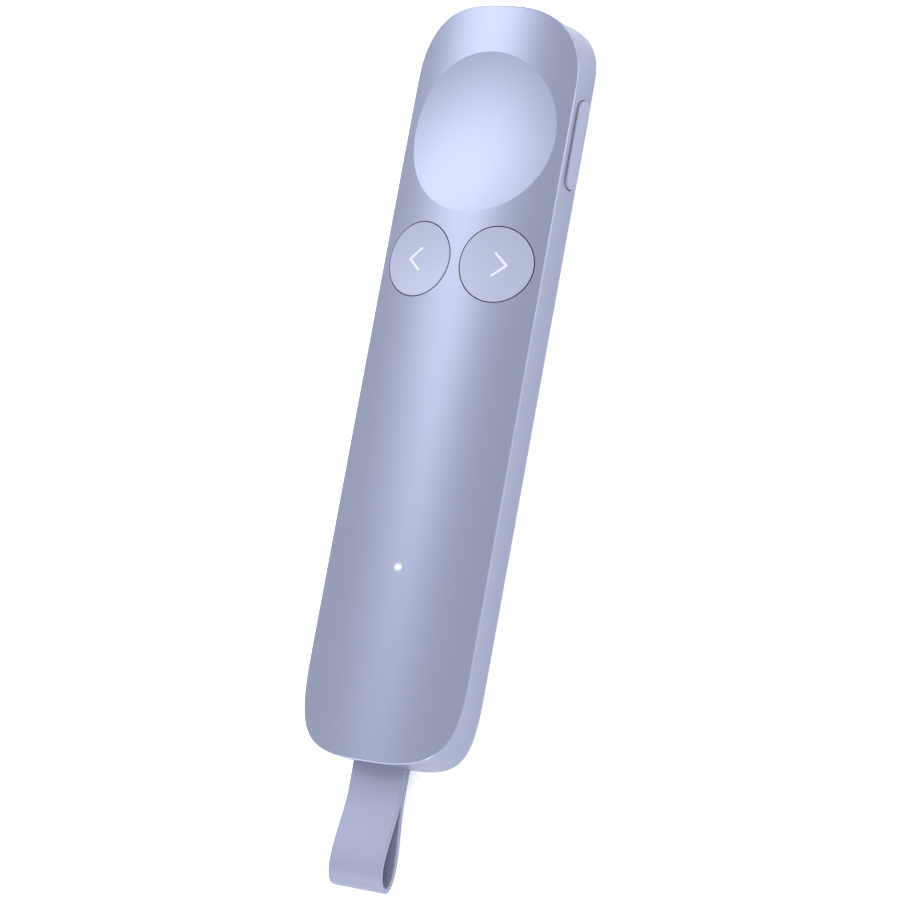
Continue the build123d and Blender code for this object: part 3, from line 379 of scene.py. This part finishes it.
BUTTON_X = 0.0076175
BUTTON_Y = 0.0203964
OPENING_RADIUS = 0.0066825
shell = smooth_piece(
    "top_housing",
    [
        crease_slope,
        crown_slope(),
        crown_slope(WALL),
        saddle_slope(DISH_RADIUS, DISH_DEPTH, DISH_Y),
        saddle_slope(DISH_RADIUS, DISH_DEPTH, DISH_Y, WALL),
        ring_slope(-BUTTON_X, BUTTON_Y, OPENING_RADIUS),
        ring_slope(BUTTON_X, BUTTON_Y, OPENING_RADIUS),
        wall_slope,
    ],
    seam_side=1,
)
fitted(shell, "body", shell_satin, "top_housing")

# ------------------------------------------------------------------------------------------------
# Bottom cover: a shallow tray of the same plastic with a rolled lower edge. Its lip plugs into
# the housing and six beads click into pockets there, so no screw shows.

PIT_GLOSS = 0.08


def satin_gloss(cloud, pits, roughness):
    """Roughness about that value, uneven with the cloud and the pits."""
    return pits * PIT_GLOSS + cloud * CLOUD_GLOSS + (roughness - (PIT_GLOSS + CLOUD_GLOSS) / 2)


def satin_moulding(name, colour, roughness, pearl=PEARL):
    """Moulding in one colour with an even satin gloss."""
    finish, shader, place, cloud, pits = moulding(name, pearl)
    clouded(cloud, colour).feeds(shader.inputs["Base Color"])
    satin_gloss(cloud, pits, roughness).feeds(shader.inputs["Roughness"])
    return finish


cover_satin = satin_moulding("cover_satin", LILAC, roughness=0.38)
cover = smooth_piece("bottom_cover", [wall_slope], seam_side=-1)
fitted(cover, "body", cover_satin, "bottom_cover")

# ------------------------------------------------------------------------------------------------
# Back and next buttons: round caps, moulded with skirt, flange and stem, hollow along the body on
# top. A thin ring near the rim of the top is painted lighter as a highlight, and the skirt is
# painted dark as the shade in the gap round the cap. A thin chevron is printed on each in white.

CAP_GAP = 0.00016
CAP_RADIUS = OPENING_RADIUS - CAP_GAP
CAP_PROUD = 0.00014
CAP_HOLLOW = 0.68
CAP_DISHING = CAP_HOLLOW * OPENING_RADIUS**2 / (2 * CROWN_RADIUS)
BUTTON_LILAC = (0.292, 0.318, 0.436)
# Painted shade: the skirt's dark colour stands in for the shade in the gap round the cap.
SKIRT_SHADE_LILAC = (0.05, 0.056, 0.12)
SKIRT_SHADE_START = CAP_RADIUS - 0.00003
SKIRT_SHADE_END = CAP_RADIUS - 0.000005
RIM_HIGHLIGHT_RADIUS = CAP_RADIUS - 0.00006
RIM_HIGHLIGHT_HALF_WIDTH = 0.00005
RIM_HIGHLIGHT_GAIN = 0.25

button_satin, shader, place, cloud, pits = moulding("button_satin", pearl=0.3)
satin_gloss(cloud, pits, roughness=0.44).feeds(shader.inputs["Roughness"])
flat = place.node("ShaderNodeVectorMath", {0: place, 1: (1.0, 1.0, 0.0)}, operation="MULTIPLY")
folded = flat.node("ShaderNodeVectorMath", {0: flat}, operation="ABSOLUTE")
from_axis = distance_to(folded, (BUTTON_X, BUTTON_Y, 0.0))
# Painted shade: the cap's colour fades from the top to the dark skirt just inside its edge.
painted_light_tone = fading(from_axis, SKIRT_SHADE_START, SKIRT_SHADE_END)
# Painted highlight: a thin ring just inside the cap's edge is made lighter.
rim_highlight = from_axis.maths("COMPARE", from_axis, RIM_HIGHLIGHT_RADIUS, RIM_HIGHLIGHT_HALF_WIDTH)
tone = (1 + RIM_HIGHLIGHT_GAIN * rim_highlight) * painted_light_tone * (cloud * (2 * CLOUD_SHADE) + (1 - 2 * CLOUD_SHADE))
colour = tinted(painted_light_tone, SKIRT_SHADE_LILAC, BUTTON_LILAC)
colour = tone.node("ShaderNodeVectorMath", {0: colour, 3: painted_light_tone * (tone - 1) + 1}, operation="SCALE")
colour.feeds(shader.inputs["Base Color"])
for node, body, side in (("back_button", "back_key", -1), ("next_button", "next_key", 1)):
    turn = math.asin(side * BUTTON_X / CROWN_RADIUS)
    top = saddle_slope(OPENING_RADIUS, CAP_DISHING, BUTTON_Y, turn=turn, lift=CAP_PROUD)
    cap = smooth_piece(node, [top, ring_slope(side * BUTTON_X, BUTTON_Y, CAP_RADIUS)])
    fitted(cap, body, button_satin, node)


def mottled(name, dark, light, texture, roughness, spread, metallic=0.0, kind="Noise"):
    """Finish whose colour, and gloss from that roughness up, vary with one fine texture."""
    finish, shader, place = new_finish(name)
    pattern = place.node("ShaderNodeTex" + kind, {"Vector": place, **texture})
    tinted(pattern, dark, light).feeds(shader.inputs["Base Color"])
    (pattern * spread + roughness).feeds(shader.inputs["Roughness"])
    shader.inputs["Metallic"].default_value = metallic
    return finish


whites = (0.50, 0.535, 0.60), (0.56, 0.60, 0.66)
flecks = {"Scale": 9000.0, "Detail": 2.0}
sign_ink = mottled("sign_ink", *whites, flecks, roughness=0.45, spread=0.1)


def new_rule(name, *sizes):
    """Node tree that takes a shape and named sizes, and the outputs of its entry."""
    tree = bpy.data.node_groups.new(name, "GeometryNodeTree")
    tree.interface.new_socket("Shape", in_out="INPUT", socket_type="NodeSocketGeometry")
    for size in sizes:
        tree.interface.new_socket(size, in_out="INPUT", socket_type="NodeSocketFloat")
    tree.interface.new_socket("Result", in_out="OUTPUT", socket_type="NodeSocketGeometry")
    entry = tree.nodes.new("NodeGroupInput")
    return tree, [Knob(tree, entry.outputs[k]) for k in range(len(sizes) + 1)]


def settle(result, finish):
    """Ends a node tree: instances become real geometry, and it gets its finish."""
    result = result.node("GeometryNodeRealizeInstances", {"Geometry": result})
    result = result.node("GeometryNodeSetMaterial", {"Geometry": result, "Material": finish})
    result.feeds(result.tree.nodes.new("NodeGroupOutput").inputs[0])


def grown(name, data, tree, sizes, sharp=40.0):
    """Runs a node tree on a mesh or curve and keeps the result as one plain mesh."""
    base = bpy.data.objects.new(name + "_base", data)
    bpy.context.scene.collection.objects.link(base)
    rule = base.modifiers.new("rule", "NODES")
    rule.node_group = tree
    for item in tree.interface.items_tree:
        if item.in_out == "INPUT" and item.name in sizes:
            rule[item.identifier] = sizes[item.name]
    bpy.context.view_layer.update()
    result = base.evaluated_get(bpy.context.evaluated_depsgraph_get())
    mesh = bpy.data.meshes.new_from_object(result)
    bpy.data.objects.remove(base)
    mesh.name = name
    mesh.shade_smooth()
    mesh.set_sharp_from_angle(angle=math.radians(sharp))
    piece = bpy.data.objects.new(name, mesh)
    bpy.context.scene.collection.objects.link(piece)
    return piece


SIGN_STEPS = 21


def sign_rule():
    """Two mitred strokes with square ends that meet in a tip, laid as a thin layer on a cap."""
    sizes = "Arm", "Stroke", "Turn", "Way", "Tip X", "Tip Y", "Lift", "Ink"
    tree, entry = new_rule("sign_rule", *sizes)
    cap, arm, stroke, turn, way, tip_x, tip_y, lift, ink = entry
    cube = {"Size": (1.0, 2.0, 1.0), "Vertices X": 2, "Vertices Y": SIGN_STEPS, "Vertices Z": 2}
    layer = cap.node("GeometryNodeMeshCube", cube)
    corner = cap.node("GeometryNodeInputPosition", {})
    aside = corner.node("ShaderNodeSeparateXYZ", {"Vector": corner})
    along, upper = aside.other(1), aside.other(2)
    sine, cosine = turn.maths("SINE", turn), turn.maths("COSINE", turn)
    away = along.maths("ABSOLUTE", along)
    mitre = sine + cosine * cosine / sine * (1 - away)
    x = tip_x + way * (aside * stroke * mitre - cosine * arm * away)
    y = tip_y + way * along * (sine * arm + aside * stroke * cosine)
    above = cap.node("ShaderNodeCombineXYZ", {0: x, 1: y, 2: 2 * THICKNESS})
    ray = {"Target Geometry": cap, "Source Position": above, "Ray Direction": (0, 0, -1)}
    ray["Ray Length"] = 2 * THICKNESS
    met = cap.node("GeometryNodeRaycast", ray, output="Hit Position")
    met = met.node("ShaderNodeSeparateXYZ", {"Vector": met}, output=2)
    spot = cap.node("ShaderNodeCombineXYZ", {0: x, 1: y, 2: met + lift + upper * ink})
    settle(layer.node("GeometryNodeSetPosition", {"Geometry": layer, "Position": spot}), sign_ink)
    return tree


SIGN = {
    "Arm": 0.0031,
    "Stroke": 0.0004,
    "Turn": math.radians(41.0),
    "Lift": 0.000012,
    "Ink": 0.00002,
}
SIGN_TIP = 0.00187
sign_nodes = sign_rule()
for way, side in (("back", -1), ("next", 1)):
    tip = {"Way": float(side), "Tip X": side * (BUTTON_X + SIGN_TIP), "Tip Y": BUTTON_Y}
    sign = grown(way + "_sign", cad[way + "_button"].data.copy(), sign_nodes, {**SIGN, **tip})
    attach(sign, way + "_key")

# ------------------------------------------------------------------------------------------------
# Side button: a long pill-shaped cap in the right wall with rolled edges, moulded with the flange
# that holds it behind the wall.

side_satin = satin_moulding("side_satin", (0.256, 0.280, 0.392), roughness=0.36, pearl=0.4)
side_cap = smooth_piece("side_button", [])
fitted(side_cap, "side_key", side_satin, "side_button")

# ------------------------------------------------------------------------------------------------
# Status light: a moulded pipe of clear acrylic, pressed in flush with the face, that glows white
# from the LED below.

PIPE_CORE = 0.0008

pipe_glow, shader, place = new_finish("pipe_glow")
core = fading(distance_to(place, LIGHT_PLACE), 0.0, PIPE_CORE)
tinted(core, (0.90, 0.95, 1.0), (1.0, 1.0, 0.97)).feeds(shader.inputs["Emission Color"])
shader.inputs["Emission Strength"].default_value = 0.62
shader.inputs["Base Color"].default_value = (0.20, 0.205, 0.21, 1.0)
shader.inputs["Roughness"].default_value = 0.25
pipe = smooth_piece("light_pipe", [crown_slope()])
fitted(pipe, "body", pipe_glow, "light_pipe")

# ------------------------------------------------------------------------------------------------
# Strap: one flat band of matte silicone, folded to a teardrop loop. Both ends lie on each other
# in the receiver's slot and hang on its cross pin.

STRAP_WIDTH = 0.0103
STRAP_THICKNESS = 0.00095
STRAP_EDGE = 0.0002
STRAP_REACH = 0.021
STRAP_CLOSED = 0.005
STRAP_RISE = 0.0019
STRAP_FALL = 0.0014
STRAP_Z = 0.00445
TEAR_POWER = 2.4
TEAR_PEAK = 0.615
LOOP_STEPS = 96
LOOP_START = 4
PIN_TO_TAIL = 0.0024
PIN_RADIUS = 0.000825
STRAP_END = 0.0043
TAIL_Y = -HALF_LENGTH


def strap_line():
    """Middle line of the band, from its upper end round the loop to its lower end."""
    parting = TAIL_Y - STRAP_CLOSED
    reach = STRAP_REACH - STRAP_CLOSED - STRAP_THICKNESS
    inner = []
    for step in range(LOOP_START, LOOP_STEPS - LOOP_START + 1):
        turn = 2 * math.pi * step / LOOP_STEPS
        swell = math.sin(turn) * math.sin(turn / 2) ** TEAR_POWER / TEAR_PEAK
        bulge = STRAP_RISE if swell > 0 else STRAP_FALL
        out = parting - reach * (1 - math.cos(turn)) / 2
        inner.append(Vector((0.0, out, STRAP_Z + bulge * swell)))
    half = STRAP_THICKNESS / 2
    line = []
    for before, here, after in zip(inner, inner[1:], inner[2:]):
        along = (after - before).normalized()
        line.append(here + half * Vector((0.0, along.z, -along.y)))
    straight = [TAIL_Y + STRAP_END, TAIL_Y, parting]
    upper = [Vector((0.0, y, STRAP_Z + half + TOUCHING)) for y in straight]
    lower = [Vector((0.0, y, STRAP_Z - half - TOUCHING)) for y in reversed(straight)]
    return upper + line + lower


def less(whole, taken):
    """A solid mesh with another one cut out of it."""
    both = {0: whole, 1: taken}
    return whole.node("GeometryNodeMeshBoolean", both, operation="DIFFERENCE", solver="EXACT")


def band_rule(finish):
    """A flat band with rounded edges along a line, pierced where the receiver's pin goes in."""
    sizes = "Width", "Thickness", "Edge", "Pin radius", "Pin Y", "Pin Z"
    tree, entry = new_rule("band_rule", *sizes)
    line, width, thickness, edge, pin_radius, pin_y, pin_z = entry
    section = {"Width": width, "Height": thickness}
    flat = line.node("GeometryNodeCurvePrimitiveQuadrilateral", section)
    rounding = {"Curve": flat, "Radius": edge, "Count": 5, "Limit Radius": True}
    flat = flat.node("GeometryNodeFilletCurve", rounding, mode="POLY")
    sweep = {"Curve": line, "Profile Curve": flat, "Fill Caps": True}
    band = line.node("GeometryNodeCurveToMesh", sweep)
    round_bar = {"Vertices": 32, "Radius": pin_radius, "Depth": thickness * 6}
    pin = line.node("GeometryNodeMeshCylinder", round_bar)
    spot = line.node("ShaderNodeCombineXYZ", {0: 0.0, 1: pin_y, 2: pin_z})
    pin = pin.node("GeometryNodeTransform", {"Geometry": pin, "Translation": spot})
    settle(less(band, pin), finish)
    return tree


strap_silicone = satin_moulding("strap_silicone", (0.232, 0.254, 0.360), roughness=0.55, pearl=0.25)
curve = bpy.data.curves.new("strap_line", "CURVE")
curve.dimensions = "3D"
course = strap_line()
spline = curve.splines.new("POLY")
spline.points.add(len(course) - 1)
for point, spot in zip(spline.points, course):
    point.co = (*spot, 1.0)
strap_sizes = {
    "Width": STRAP_WIDTH,
    "Thickness": STRAP_THICKNESS,
    "Edge": STRAP_EDGE,
    "Pin radius": PIN_RADIUS,
    "Pin Y": TAIL_Y + PIN_TO_TAIL,
    "Pin Z": STRAP_Z,
}
strap_band = grown("strap_band", curve, band_rule(strap_silicone), strap_sizes)
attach(strap_band, "receiver")
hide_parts("strap")

# ------------------------------------------------------------------------------------------------
# Receiver: a small radio in two halves of the same lilac plastic, parked in the tail with its
# plug in the charging socket. Its end is flush with the tail wall, and the strap pulls it out.

receiver_satin = satin_moulding("receiver_satin", LILAC, roughness=0.38)
for node in ("receiver_top", "receiver_bottom"):
    fitted(smooth_piece(node, [wall_slope]), "receiver", receiver_satin, node)


DRAW_STRETCH = (1.0, 0.06, 1.0)
DRAW_LINES = {"Scale": 6000.0, "Detail": 2.0}
DRAW_SHADE = 0.94
DRAW_GLOSS = 0.12


def plated(name, colour, roughness):
    """Drawn and plated sheet metal: fine lines along the draw and a little uneven in gloss."""
    finish, shader, place = new_finish(name)
    stretched = place.node("ShaderNodeMapping", {"Vector": place, "Scale": DRAW_STRETCH})
    lines = place.node("ShaderNodeTexNoise", {"Vector": stretched, **DRAW_LINES})
    tinted(lines, [c * DRAW_SHADE for c in colour], colour).feeds(shader.inputs["Base Color"])
    (lines * DRAW_GLOSS + roughness).feeds(shader.inputs["Roughness"])
    shader.inputs["Metallic"].default_value = 1.0
    return finish


def dressed(finish, *names):
    """Gives CAD nodes their finish."""
    for name in names:
        cad[name].data.materials.clear()
        cad[name].data.materials.append(finish)


nickel = plated("nickel", (0.70, 0.69, 0.66), roughness=0.22)
dressed(nickel, "receiver_plug", "strap_pin", "charge_socket")
dressed(nickel, "bay_springs", "radio_shield", "antenna")

# ------------------------------------------------------------------------------------------------
# Boards: glass-filled epoxy under dark green solder resist, the main one screwed under the face,
# a small one on the cell and one in the receiver.

greens = (0.010, 0.075, 0.035), (0.018, 0.115, 0.055)
weave = {"Scale": 2600.0}
solder_resist = mottled("solder_resist", *greens, weave, roughness=0.28, spread=0.1, kind="Voronoi")
dressed(solder_resist, "main_board", "battery_guard", "receiver_board")

# ------------------------------------------------------------------------------------------------
# Chips and switch plungers: black mouldings, fine and matte. The chips are soldered to the board,
# and each plunger stands in its switch.

blacks = (0.012, 0.012, 0.013), (0.028, 0.028, 0.030)
fines = {"Scale": 12000.0, "Detail": 2.0}
chip_epoxy = mottled("chip_epoxy", *blacks, fines, roughness=0.45, spread=0.2)
dressed(chip_epoxy, "radio_chip", "motion_sensor", "power_chip")
dressed(chip_epoxy, "back_plunger", "next_plunger", "side_plunger", "reset_plunger")

# ------------------------------------------------------------------------------------------------
# Small parts on the board: chip capacitors and resistors, tan ceramic blocks with a tinned cap on
# each end, soldered in a row each side of the radio and one row by the charging chip.

CHIP_LENGTH = 0.001
CHIP_SIZE = 0.0005
CHIP_PITCH = 0.002
CHIP_ROW_X = 0.008
RADIO_Y = -0.0133432
CHARGER_Y = -0.04075
BOARD_TOP = 0.00485

tans = (0.33, 0.22, 0.13), (0.46, 0.33, 0.21)
speckle = {"Scale": 8000.0, "Detail": 3.0}
capacitor_ceramic = mottled("capacitor_ceramic", *tans, speckle, roughness=0.3, spread=0.15)
tin = plated("tin", (0.62, 0.62, 0.60), roughness=0.34)


def points_only(name, places):
    """Mesh of loose points, on which a node tree sets its copies."""
    mesh = bpy.data.meshes.new(name)
    mesh.from_pydata(places, [], [])
    return mesh


def on_points(places, whole):
    """One copy of a shape on every point."""
    return places.node("GeometryNodeInstanceOnPoints", {"Points": places, "Instance": whole})


def chip_rule(name, finish):
    """Two blocks on every point, set aside from it to both ends."""
    tree, (places, length, height, aside) = new_rule(name, "Length", "Height", "Aside")
    size = places.node("ShaderNodeCombineXYZ", {0: length, 1: height, 2: height})
    cube = {"Size": size, "Vertices X": 2, "Vertices Y": 2, "Vertices Z": 2}
    block = places.node("GeometryNodeMeshCube", cube)
    copies = []
    for way in (-1.0, 1.0):
        spot = places.node("ShaderNodeCombineXYZ", {0: aside * way, 1: 0.0, 2: height / 2})
        moved = block.node("GeometryNodeTransform", {"Geometry": block, "Translation": spot})
        copies.append(on_points(places, moved))
    both = copies[0].node("GeometryNodeJoinGeometry", {0: copies[0]})
    copies[1].feeds(both.socket.node.inputs[0])
    settle(both, finish)
    return tree


chip_places = []
for step in (-2.5, -1.5, -0.5, 0.5, 1.5, 2.5):
    chip_places += [(side * CHIP_ROW_X, RADIO_Y + step * CHIP_PITCH, BOARD_TOP) for side in (-1, 1)]
    if abs(step) < 2:
        chip_places.append((0.0, CHARGER_Y + step * CHIP_PITCH, BOARD_TOP))
CHIP_CAP = 0.00025
CHIP_BODY = CHIP_LENGTH / 2 - CHIP_CAP
CHIP_BODY_SHARE = 0.92
for name, finish, length, height, aside in (
    ("chip_bodies", capacitor_ceramic, CHIP_BODY, CHIP_BODY_SHARE * CHIP_SIZE, CHIP_BODY / 2),
    ("chip_ends", tin, CHIP_CAP, CHIP_SIZE, (CHIP_LENGTH - CHIP_CAP) / 2),
):
    sizes = {"Length": length, "Height": height, "Aside": aside}
    chips = grown(name, points_only(name, chip_places), chip_rule(name, finish), sizes)
    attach(chips, "body")
    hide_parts("board_parts")

# ------------------------------------------------------------------------------------------------
# Switches and the haptic motor: covers stamped from stainless steel. The switches are soldered to
# the board, and the motor is taped under the dish.

stainless = plated("stainless", (0.56, 0.57, 0.58), roughness=0.3)
dressed(stainless, "back_switch", "next_switch", "side_switch", "reset_switch", "haptic_motor")

# ------------------------------------------------------------------------------------------------
# Board screws: six cold-headed pan screws with a hexagon socket and a rolled thread, up through
# the frame's lugs and the board into the bosses of the housing.

SCREW_X = 0.0113
SCREW_YS = (-0.04075, 0.0060137, 0.0294787)
SCREW_SEAT = 0.0023
SCREW_SIZES = {
    "Head radius": 0.00135,
    "Head height": 0.0008,
    "Head round": 0.0003,
    "Socket": 0.00055,
    "Radius": 0.0007,
    "Length": 0.0044,
    "Pitch": 0.0004,
    "Thread": 0.00016,
}


def screw_rule(finish):
    """One screw on every point: a head with rolled edge and socket, and a shank with its thread."""
    tree, entry = new_rule("screw_rule", *SCREW_SIZES)
    places, head_radius, head_height, head_round, socket, radius, length, pitch, thread = entry
    corner = places.node("GeometryNodeInputPosition", {})
    x = corner.node("ShaderNodeSeparateXYZ", {"Vector": corner})
    y, z = x.other(1), x.other(2)

    sides = {"Vertices": 48, "Side Segments": 8, "Radius": head_radius, "Depth": head_height}
    head = places.node("GeometryNodeMeshCylinder", sides)
    left = head_round - z.maths("MINIMUM", z + head_height / 2, head_round)
    arc = left.maths("SQRT", head_round * head_round - left * left)
    scale = 1 - (head_round - arc) / head_radius
    spot = places.node("ShaderNodeCombineXYZ", {0: x * scale, 1: y * scale, 2: z})
    head = head.node("GeometryNodeSetPosition", {"Geometry": head, "Position": spot})
    hexagon = {"Vertices": 6, "Radius": socket, "Depth": head_height}
    key = places.node("GeometryNodeMeshCylinder", hexagon)
    down = places.node("ShaderNodeCombineXYZ", {0: 0.0, 1: 0.0, 2: head_height * -0.5})
    key = key.node("GeometryNodeTransform", {"Geometry": key, "Translation": down})
    head = less(head, key)
    head = head.node("GeometryNodeTransform", {"Geometry": head, "Translation": down})

    shank = {"Vertices": 24, "Side Segments": 88, "Radius": radius, "Depth": length}
    shank = places.node("GeometryNodeMeshCylinder", shank)
    turn = z / pitch + y.maths("ARCTAN2", y, x) / (2 * math.pi)
    groove = turn.maths("ABSOLUTE", turn.maths("FRACT", turn) * 2 - 1)
    scale = 1 - groove * thread / radius
    spot = places.node("ShaderNodeCombineXYZ", {0: x * scale, 1: y * scale, 2: z})
    shank = shank.node("GeometryNodeSetPosition", {"Geometry": shank, "Position": spot})
    up = places.node("ShaderNodeCombineXYZ", {0: 0.0, 1: 0.0, 2: length * 0.5 - TOUCHING})
    shank = shank.node("GeometryNodeTransform", {"Geometry": shank, "Translation": up})
    whole = head.node("GeometryNodeJoinGeometry", {0: head})
    shank.feeds(whole.socket.node.inputs[0])
    settle(on_points(places, whole), finish)
    return tree


screw_places = [(side * SCREW_X, y, SCREW_SEAT) for y in SCREW_YS for side in (-1, 1)]
screw_steel = plated("screw_steel", (0.60, 0.60, 0.59), roughness=0.26)
screw_points = points_only("screws", screw_places)
screws = grown("screws", screw_points, screw_rule(screw_steel), SCREW_SIZES, sharp=35.0)
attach(screws, "body")
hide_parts("board_screws")

# ------------------------------------------------------------------------------------------------
# LED: a small white chip with a yellowish phosphor cap, soldered to the board below the light
# pipe, and switched on.

led_phosphor, shader, place = new_finish("led_phosphor")
dots = place.node("ShaderNodeTexNoise", {"Vector": place, "Scale": 7000.0, "Detail": 1.0})
tinted(dots, (0.93, 0.90, 0.62), (0.99, 0.97, 0.80)).feeds(shader.inputs["Base Color"])
shader.inputs["Emission Color"].default_value = (1.0, 1.0, 0.95, 1.0)
shader.inputs["Emission Strength"].default_value = 2.0
dressed(led_phosphor, "status_led")

# ------------------------------------------------------------------------------------------------
# Films and tapes: the amber touch film glued under the dish, with its flat lead, and the white
# tapes that hold the motor and the cell.

ambers = (0.42, 0.16, 0.02), (0.55, 0.24, 0.04)
haze = {"Scale": 900.0, "Detail": 2.0}
amber_film = mottled("amber_film", *ambers, haze, roughness=0.18, spread=0.1)
dressed(amber_film, "pad_sensor", "pad_flex")

papers = (0.78, 0.78, 0.75), (0.88, 0.88, 0.86)
fibre = {"Scale": 3000.0, "Detail": 4.0}
paper_tape = mottled("paper_tape", *papers, fibre, roughness=0.6, spread=0.2)
dressed(paper_tape, "motor_tape", "battery_tape")

# ------------------------------------------------------------------------------------------------
# Frame, receiver bay and socket tongue: mouldings of black glass-filled nylon. The two connectors
# on the board are natural nylon.

blacks = (0.018, 0.018, 0.020), (0.040, 0.040, 0.043)
swirl = {"Scale": 2200.0, "Detail": 3.0, "Distortion": 1.5}
black_nylon = mottled("black_nylon", *blacks, swirl, roughness=0.4, spread=0.2)
dressed(black_nylon, "inner_frame", "bay_sleeve", "socket_tongue")

creams = (0.68, 0.64, 0.53), (0.76, 0.73, 0.63)
milk = {"Scale": 1500.0, "Detail": 2.0}
natural_nylon = mottled("natural_nylon", *creams, milk, roughness=0.4, spread=0.1)
dressed(natural_nylon, "battery_connector", "pad_connector")

# ------------------------------------------------------------------------------------------------
# Battery: a lithium cell in a pouch of aluminium laminate, taped into the frame on foam pads, with
# two red leads to its connector.

silvers = (0.50, 0.51, 0.53), (0.62, 0.63, 0.65)
creases = {"Scale": 350.0, "Detail": 4.0}
pouch_laminate = mottled(
    "pouch_laminate", *silvers, creases, roughness=0.3, spread=0.2, metallic=0.8
)
dressed(pouch_laminate, "battery_cell")

blacks = (0.015, 0.015, 0.016), (0.06, 0.06, 0.062)
cells = {"Scale": 4000.0}
pad_foam = mottled("pad_foam", *blacks, cells, roughness=0.85, spread=0.1, kind="Voronoi")
dressed(pad_foam, "battery_foam")

reds = (0.30, 0.012, 0.010), (0.38, 0.022, 0.018)
chalk = {"Scale": 2500.0, "Detail": 2.0}
lead_jacket = mottled("lead_jacket", *reds, chalk, roughness=0.45, spread=0.1)
dressed(lead_jacket, "battery_leads")

# ------------------------------------------------------------------------------------------------
# The table: one plain white sheet under the clicker, a hair below it, that glows evenly as a
# light table does.

TABLE_REACH = 3.0
TABLE_DROP = 0.00002

table_paint, shader, place = new_finish("table_paint")
shader.inputs["Base Color"].default_value = (0.93, 0.93, 0.94, 1.0)
shader.inputs["Roughness"].default_value = 0.9
shader.inputs["Specular IOR Level"].default_value = 0.1
shader.inputs["Emission Color"].default_value = (1.0, 1.0, 1.0, 1.0)
shader.inputs["Emission Strength"].default_value = 0.45
mesh = bpy.data.meshes.new("table")
corners = [(x * TABLE_REACH, y * TABLE_REACH, 0) for x, y in ((-1, -1), (1, -1), (1, 1), (-1, 1))]
mesh.from_pydata(corners, [], [(0, 1, 2, 3)])
mesh.materials.append(table_paint)
table = bpy.data.objects.new("table", mesh)
bpy.context.scene.collection.objects.link(table)
table.location.z = -TABLE_DROP

# ------------------------------------------------------------------------------------------------
# Studio light: a pale room, one tall soft box to the left of the camera, and four narrow ones
# round the other sides that catch the edges.

room = bpy.data.worlds.new("room")
room.use_nodes = True
room.node_tree.nodes["Background"].inputs["Color"].default_value = (1.0, 1.0, 1.0, 1.0)
room.node_tree.nodes["Background"].inputs["Strength"].default_value = 0.73
bpy.context.scene.world = room


def soft_box(name, compass, height, wide, tall, power):
    """Oblong light a metre away, facing the clicker: degrees round and up, metres, watts."""
    light = bpy.data.lights.new(name, "AREA")
    light.shape = "RECTANGLE"
    light.size, light.size_y, light.energy = wide, tall, power
    lamp = bpy.data.objects.new(name, light)
    bpy.context.scene.collection.objects.link(lamp)
    turn, lift = math.radians(compass), math.radians(height)
    way = Vector((math.cos(turn) * math.cos(lift), math.sin(turn) * math.cos(lift), math.sin(lift)))
    lamp.location = way
    lamp.rotation_mode = "QUATERNION"
    lamp.rotation_quaternion = way.to_track_quat("Z", "Y")


soft_box("key_box", 145.0, 49.0, 0.45, 0.74, 5.2)
soft_box("head_box", 55.0, 32.0, 0.90, 0.26, 2.2)
soft_box("edge_box", 22.0, 35.0, 0.15, 0.80, 1.6)
soft_box("corner_box", -62.0, 36.0, 0.18, 0.80, 2.4)
soft_box("tail_box", -108.0, 33.0, 0.90, 0.26, 4.2)

# ------------------------------------------------------------------------------------------------
# Camera: a long lens above the right side, rolled a little, so that the clicker stands slanting
# in the frame.

lens = bpy.data.cameras.new("camera")
lens.sensor_fit = "HORIZONTAL"
lens.sensor_width = 36.0
lens.lens = 128.0
lens.clip_start = 0.01
lens.clip_end = 20.0
camera = bpy.data.objects.new("camera", lens)
bpy.context.scene.collection.objects.link(camera)
rightwards = Vector((0.8572, 0.1789, -0.4828))
upwards = Vector((-0.0926, 0.9760, 0.1973))
backwards = rightwards.cross(upwards).normalized()
upwards = backwards.cross(rightwards).normalized()
rightwards.normalize()
turned = Matrix((rightwards, upwards, backwards)).transposed().to_4x4()
camera.matrix_world = Matrix.Translation((0.27760, -0.07879, 0.46871)) @ turned
bpy.context.scene.camera = camera
bpy.context.scene.view_settings.view_transform = "Standard"
